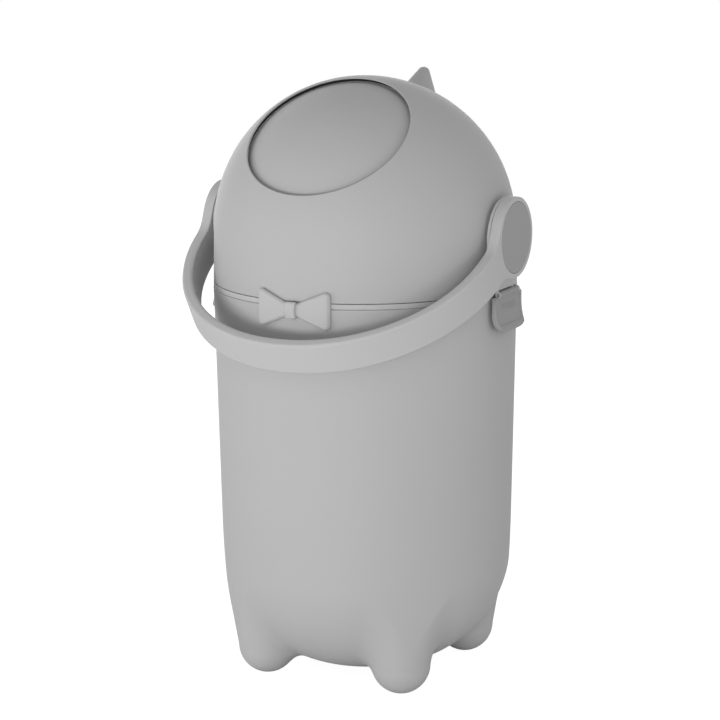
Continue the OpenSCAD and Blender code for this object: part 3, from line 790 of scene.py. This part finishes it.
# %% Wells in the pads
CAP_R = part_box("hub_cap_right")[1].y
CAP_T = 1.5 * MM
CAP_PLAY = 0.25 * MM     # between the cap's rim and the well
CAP_LIFT = 0.1 * MM      # under the cap
WELL_R = CAP_R + CAP_PLAY
WELL_ROUND = 0.35 * MM
FACE_BAND = 0.1 * MM     # points within this depth lie on the pad's face
WELL_RINGS = 0.98, 0.4   # rings of the well's bottom, as shares of its radius
for side in (1, -1):
    x = np.array((side, 0, 0))
    along, off = from_axis(handle.points, x)
    face = along > HANDLE_OUT - FACE_BAND
    handle.drop(face & (off < WELL_R + WELL_ROUND))
    edges = handle.open_edges(face)
    rim = np.unique(edges)
    spoke = handle.to_circle(edges, axis_point + x * HANDLE_OUT, x, WELL_R + WELL_ROUND)
    handle.normals[rim] = x
    rows = handle.round_rows(rim, -spoke, WELL_ROUND, steps=3)
    floor_at = axis_point + x * (HANDLE_OUT - CAP_T - CAP_LIFT)
    rows.append((floor_at + spoke * WELL_R, unit(x - spoke)))
    for share in WELL_RINGS:
        rows.append((floor_at + spoke * WELL_R * share, np.tile(x, (len(rim), 1)).astype(float)))
    edges = handle.add_rows(edges, rows)
    handle.points = np.concatenate([handle.points, [floor_at]])
    handle.normals = np.concatenate([handle.normals, [x]])
    middle = np.full(len(edges), len(handle.points) - 1)
    handle.faces = np.concatenate([handle.faces, np.stack([edges[:, 1], edges[:, 0], middle, middle], 1)])
add_piece("carrying_handle", handle, handle_grey, "drum", ["handle"])

# %% [markdown]
# ## Flat pieces with worked edges
# Latches, lugs and the bow tie are plates with a drawn outline. They could be curves that are
# extruded and bevelled, but the pockets, bores and bends in them would each need a cut. The signed
# distance to a polygon gives such an outline as a field, and crossing it with a thickness gives the
# plate, its edges rounded or bevelled.

# %% Outlines, blocks and bevels
def outline_distance(across, up, corners):
    """Signed distance to a closed polygon, negative inside."""
    corners = np.asarray(corners, float)
    nearest = np.full(across.shape, np.inf)
    winding = np.zeros(across.shape, bool)
    for (x0, y0), (x1, y1) in zip(corners, np.roll(corners, -1, axis=0)):
        dx, dy = x1 - x0, y1 - y0
        part = np.clip(((across - x0) * dx + (up - y0) * dy) / (dx * dx + dy * dy), 0, 1)
        nearest = np.minimum(nearest, np.hypot(across - x0 - part * dx, up - y0 - part * dy))
        if y0 != y1:
            beside = (up < y0) != (up < y1)
            winding ^= beside & (across < x0 + (up - y0) * dx / dy)
    return np.where(winding, -nearest, nearest)

def block(p, low, high, radius):
    """A box with rounded edges and corners."""
    low, high = np.array(low), np.array(high)
    q = np.abs(p - (low + high) / 2) - (high - low) / 2 + radius
    return np.linalg.norm(np.maximum(q, 0), axis=-1) + np.minimum(q.max(-1), 0) - radius

def bevelled(a, b, width, radius):
    """Where two fields cross, a flat bevel of the given width with soft edges."""
    flat = (a + b + width) / math.sqrt(2)
    return rounded(rounded(a, b, radius), flat, radius)

def both_sides(name, field, low, high, cell, material, bodies, slot, replaced):
    """One piece on the right and its mirror image on the left."""
    for (side, word), body, node in zip(SIDES, bodies, replaced or (None, None)):
        skin = field_skin(field, low, high, cell)
        if side < 0:
            skin.points[:, 0] *= -1
            skin.normals[:, 0] *= -1
            skin.faces = skin.faces[:, ::-1]
        add_piece(f"{name}_{word}", skin, material, body, [node] if node else [])

# %% [markdown]
# ## Latches
# A latch at each side holds the head down. It is a plate that swings on a pin through its barrel,
# hooks under a catch on the tub and flares out at its lower end for the finger. Its side view is a
# polygon, its front view a rectangle with two round corners, and the piece is what both have in
# common. The finger pocket sinks a soft-edged hollow into its face, and a notch in its back takes
# the catch.

# %% Latch sizes
latch_low, latch_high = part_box("latch_right")
pin_low, pin_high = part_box("latch_pin_right")
PIN_X, PIN_Z = (pin_low.x + pin_high.x) / 2, (pin_low.z + pin_high.z) / 2
LATCH_W = latch_high.y - latch_low.y
LATCH_EDGE = 0.7 * MM          # rounding of the plate's edges
LATCH_LIFT = 0.6 * MM          # from the lowest point of the frame's latch
KNUCKLE_R = 2.5 * MM           # the barrel round the pin
KNUCKLE_W = 16.2 * MM          # half its length
KNUCKLE_EDGE = 0.3 * MM
WEB_OUT, WEB_IN, WEB_DOWN = 0.4 * MM, 1.8 * MM, 5 * MM   # the web from barrel to plate, from the pin
LATCH_CORNER = 12.5 * MM       # round corners at the lower end
CATCH_W = 10 * MM              # half the length of the tub's catch
CATCH_T = 3 * MM               # its height
CATCH_Z = PIN_Z - 13.4 * MM    # its underside
CATCH_PLAY = 0.35 * MM         # between catch and notch, above and below
NOTCH_ROOT = 119 * MM          # inside the tub's wall
NOTCH_PAST, NOTCH_DEEP = 1 * MM, 2.2 * MM   # past the catch's ends, and out from the wall
NOTCH_EDGE = 0.2 * MM
POCKET_IN = 3 * MM             # from the plate's outline to the pocket's
POCKET_DEEP = 0.7 * MM
POCKET_LOW, POCKET_HIGH = 290 * MM, 309.3 * MM
POCKET_BLEND = 0.4 * MM
# the side view as (x, z), from the top of the back down and round the lip; points 6 to 12 are the
# outer face
latch_side = np.array([(120.7, 311.8), (120.5, 296.2), (121.6, 291), (124.2, 283.9), (126.2, 283.4),
                       (127.7, 285.2), (128.0, 287.8), (126.9, 289.6), (125.5, 292.2), (124.6, 295.4),
                       (124.1, 299.0), (123.9, 304), (123.9, 310.6), (122.9, 312.2)]) * MM
FACE_POINTS = slice(6, 13)
print(f"latch {LATCH_W / MM:.1f} mm wide, pin at x {PIN_X / MM:.1f}, z {PIN_Z / MM:.1f}")

# %% Latches
def latch_front(y, z):
    """Distance to the outline seen from the front: straight sides and a round corner at each lower end."""
    beside = np.abs(y) - LATCH_W / 2 + LATCH_CORNER
    below = latch_low.z + LATCH_LIFT + LATCH_CORNER - z
    past = np.hypot(np.maximum(beside, 0), np.maximum(below, 0))
    return past + np.minimum(np.maximum(beside, below), 0) - LATCH_CORNER

def latch_field(p):
    """The side view run across the width, cut to the front view, with a pocket and the pin's knuckle."""
    x, y, z = p[..., 0], p[..., 1], p[..., 2]
    side, front = outline_distance(x, z, latch_side), latch_front(y, z)
    plate = rounded(side, front, LATCH_EDGE)
    notch = block(p, (NOTCH_ROOT, -CATCH_W - NOTCH_PAST, CATCH_Z - CATCH_PLAY),
                  (TUB_R + NOTCH_DEEP, CATCH_W + NOTCH_PAST, CATCH_Z + CATCH_T + CATCH_PLAY),
                  NOTCH_EDGE)
    plate = np.maximum(plate, -notch)
    face_x, face_z = latch_side[FACE_POINTS].T
    floor_x = np.interp(z, face_z, face_x) - POCKET_DEEP
    pocket = np.maximum(np.maximum(front + POCKET_IN, POCKET_LOW - z), z - POCKET_HIGH)
    plate = -soft_min(-plate, np.maximum(pocket, floor_x - x), POCKET_BLEND)
    pin = np.hypot(x - PIN_X, z - PIN_Z)
    knuckle = np.maximum(pin - KNUCKLE_R, pin_high.x - PIN_X - pin)
    web = block(p, (PIN_X - WEB_IN, -KNUCKLE_W, PIN_Z - WEB_DOWN), (PIN_X + WEB_OUT, KNUCKLE_W, PIN_Z),
                KNUCKLE_EDGE)
    web = np.maximum(web, pin_high.x - PIN_X - pin)
    knuckle = rounded(knuckle, np.abs(y) - KNUCKLE_W, KNUCKLE_EDGE)
    return np.minimum(plate, np.minimum(knuckle, web))

LATCH_ROOM = np.array(((118, -27, 280), (131, 27, 318))) * MM   # the corners of the net's room
cell = 0.7 * MM
# The latches' darker grey is painted shade.
both_sides("side_latch", latch_field, *LATCH_ROOM, cell, latch_painted_shade, ("latch_right", "latch_left"),
           "latch_plastic", ("latch_right", "latch_left"))

# %% [markdown]
# ## Catches
# On the real bin a short rib on the tub's wall is what each latch snaps under. It hides behind the
# latch and shows only when the head is off. A rounded block that starts inside the wall is enough:
# where it meets the wall the eye sees the corner that a moulded rib has.

# %% Catches on the tub
CATCH_ROOT, CATCH_OUT, CATCH_EDGE = 1.5 * MM, 1.8 * MM, 0.4 * MM
CATCH_ROOM = np.array(((116, -12, 297), (124, 12, 306))) * MM

def catch_field(p):
    """The rib on the tub's wall that the latch hooks under."""
    return block(p, (TUB_R - CATCH_ROOT, -CATCH_W, CATCH_Z),
                 (TUB_R + CATCH_OUT, CATCH_W, CATCH_Z + CATCH_T), CATCH_EDGE)

both_sides("tub_catch", catch_field, *CATCH_ROOM, cell, tub_grey, ("bin", "bin"), "tub_plastic", None)

# %% [markdown]
# ## Lugs
# Each latch hangs from a lug that is moulded on the dome's skirt just under the pad: a flat block
# with an ear at each end, and the pin runs from ear to ear through the latch's barrel. The block
# and the ears are two fields with a small soft minimum between them, like the fillet in the mould,
# and the pin's bore is taken from both.

# %% Latch lugs
LUG_W = 18.5 * MM                      # half its length
LUG_TOP = AXIS_Z - PAD_R - 0.9 * MM    # just under the pad
LUG_ROOT = 117.6 * MM                  # inside the dome's wall
LUG_LIFT, LUG_IN = 0.7 * MM, 0.4 * MM  # over the dome's rim, and inward of the pin
LUG_EDGE, EAR_EDGE, NECK_EDGE = 0.7 * MM, 0.4 * MM, 0.3 * MM
LUG_BLEND = 0.8 * MM
EAR_GAP = 0.3 * MM                     # between an ear and the barrel
EAR_UP = 5 * MM                        # height of the ear's neck over the pin
BORE_PLAY = 0.05 * MM
LUG_ROOM = np.array(((116, -20, 308), (127, 20, 326))) * MM

def lug_field(p):
    """A block on the skirt with an ear at each end that holds the pin."""
    x, y, z = p[..., 0], p[..., 1], p[..., 2]
    body = block(p, (LUG_ROOT, -LUG_W, DOME_RIM_Z + LUG_LIFT), (PIN_X - LUG_IN, LUG_W, LUG_TOP), LUG_EDGE)
    pin = np.hypot(x - PIN_X, z - PIN_Z)
    neck = block(p, (PIN_X - KNUCKLE_R, -LUG_W, PIN_Z), (PIN_X, LUG_W, PIN_Z + EAR_UP), NECK_EDGE)
    across = np.abs(np.abs(y) - (LUG_W + KNUCKLE_W + EAR_GAP) / 2) - (LUG_W - KNUCKLE_W - EAR_GAP) / 2
    ear = rounded(np.minimum(pin - KNUCKLE_R, neck), across, EAR_EDGE)
    return np.maximum(soft_min(body, ear, LUG_BLEND), pin_high.x - PIN_X + BORE_PLAY - pin)

both_sides("latch_lug", lug_field, *LUG_ROOM, cell, hub_grey, ("head", "head"), "head_plastic", None)

# %% [markdown]
# ## Bow tie
# The bow tie is a moulded ornament of two wings and a knot, pegged to the tub's front. Each wing is
# a flat triangle with large round corners and a narrow bevel, bent to the tub's curve. It could be
# modelled flat and bent with a modifier. Here its thickness is simply measured from the tub's axis,
# so it comes out bent, and one outline serves both wings because it is taken on the distance from
# the middle.

# %% Bow tie wings
BOW_FACE = -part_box("bow_wings")[0].y       # the wings' outer face, from the tub's axis
knot_low, knot_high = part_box("bow_knot")
BOW_Z = (knot_low.z + knot_high.z) / 2
KNOT_HALF = knot_high.x
BOW_IN = TUB_R + 0.4 * MM                  # their back, just off the wall
WING_ROUND = 3.6 * MM                      # added round the outline below
WING_BEVEL, WING_EDGE = 1.6 * MM, 0.5 * MM
# the bar that joins the wings under the knot
BRIDGE_HALF, BRIDGE_UP, BRIDGE_T, BRIDGE_EDGE = 5.5 * MM, 4 * MM, 1.6 * MM, 0.3 * MM
wing = np.array([(1.6, 0.2), (26.9, 10.6), (26.9, -10.6), (1.6, -0.2)]) * MM

def wing_field(p):
    """Both wings, bent round the tub, with a bevel along the outline."""
    ring = np.hypot(p[..., 0], p[..., 1])
    z = p[..., 2] - BOW_Z
    outline = outline_distance(np.abs(p[..., 0]), z, wing) - WING_ROUND
    plate = np.maximum(bevelled(ring - BOW_FACE, outline, WING_BEVEL, WING_EDGE), BOW_IN - ring)
    bridge = block(np.stack([p[..., 0], ring, z], -1), (-BRIDGE_HALF, BOW_IN, -BRIDGE_UP),
                   (BRIDGE_HALF, BOW_IN + BRIDGE_T, BRIDGE_UP), BRIDGE_EDGE)
    return np.minimum(plate, bridge)

WING_ROOM = np.array(((-32, -126, -16), (32, -114, 16))) * MM + (0, 0, BOW_Z)
cell = 0.6 * MM
skin = field_skin(wing_field, *WING_ROOM, cell)
add_piece("bow_tie_wings", skin, bow_grey, "bin", ["bow_wings"])

# %% [markdown]
# ## The knot
# The knot is a soft pad over the joint of the wings. It stands out furthest in the middle of its
# height and is slightly waisted there, as a tied band would be. A rounded block whose face and
# sides follow a square law of the height gives both.

# %% Bow tie knot
KNOT_BULGE = 1.2 * MM      # how much less it stands out at its ends
KNOT_WAIST = 0.4 * MM      # how much narrower it is in the middle
KNOT_CORNER, KNOT_EDGE, KNOT_BACK_EDGE = 1.5 * MM, 1.2 * MM, 0.2 * MM
KNOT_ROOT = 1.8 * MM       # its back, over the wings' back

def knot_field(p):
    """The knot: a soft block, fullest in the middle of its height."""
    z = (p[..., 2] - BOW_Z) / (knot_high.z - BOW_Z)
    face = -knot_low.y - KNOT_BULGE * z ** 2
    ring = np.hypot(p[..., 0], p[..., 1])
    side = KNOT_HALF - KNOT_WAIST + KNOT_WAIST * z ** 2
    a = rounded(np.abs(p[..., 0]) - side, np.abs(p[..., 2] - BOW_Z) - (knot_high.z - BOW_Z), KNOT_CORNER)
    return rounded(rounded(ring - face, a, KNOT_EDGE), BOW_IN + KNOT_ROOT - ring, KNOT_BACK_EDGE)

KNOT_ROOM = np.array(((-7, -128, -9), (7, -118, 9))) * MM + (0, 0, BOW_Z)
skin = field_skin(knot_field, *KNOT_ROOM, cell)
add_piece("bow_tie_knot", skin, bow_grey, "bin", ["bow_knot"])

# %% [markdown]
# ## Turned pieces
# The collar band, the rings under the pads and the caps in them are all turned: one section run
# round an axis. Geometry Nodes do that with a circle and the section swept along it, so one small
# group serves them all, and its inputs are the section, the circle's radius and the number of
# steps. A Screw modifier could turn a section as well. The group is used because its named inputs
# say what is turned and how finely.

# %% The turning group
def node_group(name, inputs):
    """An empty Geometry Nodes group and the identifiers of its inputs."""
    tree = bpy.data.node_groups.new(name, "GeometryNodeTree")
    made = {key: tree.interface.new_socket(key, in_out="INPUT", socket_type="NodeSocket" + kind).identifier
            for key, kind in inputs}
    tree.interface.new_socket("Result", in_out="OUTPUT", socket_type="NodeSocketGeometry")
    return tree, made, add_node(tree, "NodeGroupInput").outputs

def end_group(tree, mesh, material):
    """Real geometry, not instances, and its finish, as the export needs them."""
    real = add_node(tree, "GeometryNodeRealizeInstances", {}, {"Geometry": mesh})
    done = add_node(tree, "GeometryNodeSetMaterial", {},
                    {"Geometry": real.outputs[0], "Material": material})
    add_node(tree, "NodeGroupOutput", {}, {"Result": done.outputs[0]})

turning, turning_in, given = node_group("turning", [
    ("Section", "Geometry"), ("Circle radius", "Float"), ("Steps", "Int"), ("Finish", "Material")])
circle = add_node(turning, "GeometryNodeCurvePrimitiveCircle", {},
                  {"Radius": given["Circle radius"], "Resolution": given["Steps"]})
section = add_node(turning, "GeometryNodeMeshToCurve", {}, {"Mesh": given["Section"]})
sweep = add_node(turning, "GeometryNodeCurveToMesh", {},
                 {"Curve": circle.outputs["Curve"], "Profile Curve": section.outputs["Curve"]})
end_group(turning, sweep.outputs["Mesh"], given["Finish"])

def run_group(mesh, tree, ids, values):
    """The plain mesh that a group makes from a mesh and the values of its inputs."""
    obj = bpy.data.objects.new("blank", mesh)
    bpy.context.collection.objects.link(obj)
    modifier = obj.modifiers.new("group", "NODES")
    modifier.node_group = tree
    for key, value in values.items():
        modifier[ids[key]] = value
    result = bpy.data.meshes.new_from_object(obj.evaluated_get(bpy.context.evaluated_depsgraph_get()))
    bpy.data.objects.remove(obj)
    return result

def clean(mesh, place, sharp=30):
    """Doubles merged, stray edges gone, put in place, normals outwards, and sharp edges kept sharp."""
    work = bmesh.new()
    work.from_mesh(mesh)
    bmesh.ops.remove_doubles(work, verts=work.verts, dist=0.001 * MM)
    bmesh.ops.delete(work, geom=[e for e in work.edges if not e.link_faces], context="EDGES")
    bmesh.ops.transform(work, matrix=place, verts=work.verts)
    bmesh.ops.recalc_face_normals(work, faces=work.faces)
    work.to_mesh(mesh)
    work.free()
    mesh.shade_smooth()
    mesh.set_sharp_from_angle(angle=math.radians(sharp))
    return mesh

def eased(corners, steps=4):
    """A closed outline in mm whose corners are set back and rounded: each is (ring, height, setback)."""
    outline = []
    for k, (x, y, back) in enumerate(corners):
        here = np.array((x, y))
        if not back:
            outline.append(here)
            continue
        before, after = (here + back * unit(np.array(corners[n][:2]) - here)
                         for n in (k - 1, (k + 1) % len(corners)))
        for t in np.linspace(0, 1, steps + 1):
            outline.append((1 - t) ** 2 * before + 2 * t * (1 - t) * here + t * t * after)
    return np.array(outline) * MM

TURN_START = 20 * MM    # the circle's radius, taken off the section again

def turned(outline, steps, material, place):
    """A closed outline of (ring, height) points turned round the local Z axis and put in place."""
    mesh = bpy.data.meshes.new("turned")
    mesh.from_pydata([(ring - TURN_START, -height, 0) for ring, height in outline],
                     [(k, (k + 1) % len(outline)) for k in range(len(outline))], [])
    values = {"Circle radius": TURN_START, "Steps": steps, "Finish": material}
    return clean(run_group(mesh, turning, turning_in, values), place)

# %% [markdown]
# ## Collar, pad rings and caps
# The collar is the band between tub and head that clamps the bag: it shows as one thin ring, and
# its skirt hangs into the tub. A ring with a step fills the room between the dome and each pad, and
# a flat cap closes the pad. Each is written as its section, corner by corner, with how far each
# corner is rounded off.

# %% Collar, pad rings and caps
SKIRT_PLAY, SKIRT_T = 0.5, 2.8          # mm: the collar's skirt inside the tub
SEAT_GAP = 0.2                          # mm: between the band and the tub's rim
BORE_R, FOOT_RING, FLANGE_R = 13, 22, 30.6   # mm: the pad ring's bore, its foot and its flange
FLANGE_T = 2.4                          # mm
BAND_STEPS, HUB_STEPS = 256, 128
collar_low, collar_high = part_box("collar_ring")
out, top = collar_high.y / MM, collar_high.z / MM
skirt_out = (TUB_R - WALL) / MM - SKIRT_PLAY
bottom, seat = collar_low.z / MM, RIM_Z / MM + SEAT_GAP
collar = eased([(skirt_out - SKIRT_T, bottom, 0.4), (skirt_out, bottom, 0.4), (skirt_out, seat, 0),
                (out, seat, 0.35), (out, top, 0.35), (skirt_out - SKIRT_T, top, 0.4)])
band = turned(collar, BAND_STEPS, collar_grey, Matrix())
mount("collar_band", band, "collar", ["collar_ring"])

base_low, base_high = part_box("hub_base_right")
foot, top = base_low.x / MM, base_high.x / MM
base_ring = eased([(BORE_R, foot, 0), (FOOT_RING, foot, 0), (FOOT_RING, top - FLANGE_T, 0),
                   (FLANGE_R, top - FLANGE_T, 0.3), (FLANGE_R, top, 0.5), (BORE_R, top, 0)])
rim_r, face = CAP_R / MM, HANDLE_OUT / MM
under = face - CAP_T / MM
cap = eased([(0, under, 0), (rim_r, under, 0), (rim_r, face, 0.35), (0, face, 0)])
for side, word in SIDES:
    place = Matrix.Translation(axis_point) @ Matrix.Rotation(side * math.pi / 2, 4, "Y")
    pad_ring = turned(base_ring, HUB_STEPS, hub_grey, place)
    mount(f"pad_ring_{word}", pad_ring, "head", [f"hub_base_{word}"])
    # The cap's darker grey is painted shade.
    pad_cap = turned(cap, HUB_STEPS, cap_painted_shade, place)
    mount(f"pad_cap_{word}", pad_cap, "drum", [f"hub_cap_{word}"])

# %% [markdown]
# ## Drum back
# The drum's closed back fills the opening like a dished lid: it is fullest in the middle and falls
# away towards its edge, which is why the gap round it looks dark. A new ball would have to repeat
# the drum's wall, its rim and its axles' bores, so the frame's own solid is copied, and a turned
# cutter with that hollow underside is taken from it.

# %% Dished back
DRUM_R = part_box("drum_mouth_half")[1].y
DISH_EDGE = 66 * MM                      # the dish ends hidden under the dome's lip
DISH_TOP, DISH_FALL = 0.1 * MM, 0.7 * MM
FALL_FROM, FALL_TO = 40 * MM, 64 * MM
DISH_POINTS, DISH_STEPS = 34, 160
CUTTER_TALL = 10 * MM
SHARP_EDGE = 25                          # degrees: the drum's rim stays sharp, its ball smooth
off = np.linspace(0, 1, DISH_POINTS) * DISH_EDGE
dish = DISH_TOP + DISH_FALL * ramp(off, FALL_FROM, FALL_TO)
under = np.stack([off, np.sqrt(DRUM_R ** 2 - off ** 2) - dish], -1)
cutter_top = DRUM_R + CUTTER_TALL
cutter_outline = np.concatenate([under, [(DISH_EDGE, cutter_top), (0, cutter_top)]])
aim = Matrix.Translation(axis_point) @ Matrix.Rotation(math.pi / 2 - OPENING_TURN, 4, "X")
cutter = bpy.data.objects.new("cutter", turned(cutter_outline, DISH_STEPS, drum_grey, aim))
bpy.context.collection.objects.link(cutter)
shell = bpy.data.objects.new("shell", clean(frame["nodes"]["drum_back_half"].data.copy(), Matrix()))
bpy.context.collection.objects.link(shell)
cut = shell.modifiers.new("dish", "BOOLEAN")
cut.object, cut.operation, cut.solver = cutter, "DIFFERENCE", "EXACT"
back = bpy.data.meshes.new_from_object(shell.evaluated_get(bpy.context.evaluated_depsgraph_get()))
for spare in (cutter, shell):
    bpy.data.objects.remove(spare)
back.materials.clear()
back.materials.append(drum_grey)
back.shade_smooth()
back.set_sharp_from_angle(angle=math.radians(SHARP_EDGE))
mount("drum_back", back, "drum", ["drum_back_half"])

# %% [markdown]
# ## Latch grips
# The finger pocket of each latch carries a row of short upright ribs, so that a wet thumb doesn't
# slip. One rib is made, and Geometry Nodes repeat it along a line. An Array modifier could do that
# too, but here the count, the spacing and the finish are inputs with names, and the copies end as
# real geometry.

# %% Grip ribs
repeating, repeating_in, given = node_group("repeating", [
    ("Rib", "Geometry"), ("Count", "Int"), ("Step", "Vector"), ("Finish", "Material")])
line = add_node(repeating, "GeometryNodeMeshLine", {}, {"Count": given["Count"], "Offset": given["Step"]})
row = add_node(repeating, "GeometryNodeInstanceOnPoints", {},
               {"Points": line.outputs[0], "Instance": given["Rib"]})
end_group(repeating, row.outputs[0], given["Finish"])

RIB_COUNT, RIB_STEP = 7, 4 * MM
RIB_AT = np.array((122.9, 0, 299.6)) * MM   # the row's middle, low and just under the pocket's floor
RIB_SIZE = np.array((0.95, 1.2, 6)) * MM    # out from there, across and up
RIB_EDGE, RIB_CELL, RIB_ROOM = 0.35 * MM, 0.25 * MM, 0.5 * MM
rib_low = RIB_AT - (0, RIB_STEP * (RIB_COUNT - 1) / 2 + RIB_SIZE[1] / 2, 0)
rib_high = rib_low + RIB_SIZE
rib = field_skin(lambda p: block(p, rib_low, rib_high, RIB_EDGE), rib_low - RIB_ROOM, rib_high + RIB_ROOM,
                 RIB_CELL)
one = bpy.data.meshes.new("rib")
one.from_pydata(rib.points.tolist(), [], rib.faces.tolist())
for side, word in SIDES:
    # The ribs take the latches' darker grey, which is painted shade.
    values = {"Count": RIB_COUNT, "Step": (0, RIB_STEP, 0), "Finish": latch_painted_shade}
    ribs = run_group(one, repeating, repeating_in, values)
    ribs = clean(ribs, Matrix.Diagonal((side, 1, 1, 1)), sharp=60)
    mount(f"latch_grips_{word}", ribs, f"latch_{word}")

# %% [markdown]
# ## What lies inside
# The parts that the frame brings and that keep its plain shape get the finish of their real
# material. Seals are EPDM rubber, nearly black and dull. Screws and pins are zinc-plated steel,
# which shows as a soft metal sheen. The bushes are acetal, a waxy white. Everything else inside is
# the same moulded polypropylene, a little darker. These parts show only when the head is off or the
# drum is turned, so rubber, steel and acetal get an even finish without a grain.

# %% Rubber, steel and acetal
def plain(name, colour, roughness, metallic=0.0):
    """An even finish without a pattern, for small parts."""
    paint = bpy.data.materials.new(name)
    paint.use_nodes = True
    shader = paint.node_tree.nodes["Principled BSDF"]
    shader.inputs["Base Color"].default_value = linear(colour)
    shader.inputs["Roughness"].default_value = roughness
    shader.inputs["Metallic"].default_value = metallic
    return paint

# Moulded EPDM rubber: nearly black and dull, so a seal reads as a dark line.
seal_rubber = plain("epdm_rubber", "#2b2b2d", 0.6)
# Steel with a plated zinc coat: a cool grey metal whose reflections are blurred.
steel = plain("zinc_plated_steel", "#b9bcc0", 0.35, 1.0)
# Moulded acetal: a waxy off-white with a broad sheen.
bush_white = plain("acetal_bush", "#dcdcd6", 0.35)
print("inner finishes:", seal_rubber.name, steel.name, bush_white.name)

# %% Finishes of the carried-over parts
# By the start of a part's name; what isn't listed is an inner moulding.
finish_of = {"drum": drum_grey, "opening_seal": seal_rubber, "outlet_seal": seal_rubber,
             "rim_seal": seal_rubber, "latch_pin": steel, "axle_screws": steel, "axle_bush": bush_white}
for name, node in frame["nodes"].items():
    chosen = next((m for start, m in finish_of.items() if name.startswith(start)), inner_grey)
    node.data.materials.clear()
    node.data.materials.append(chosen)
print("parts with a finish:", len(frame["nodes"]))
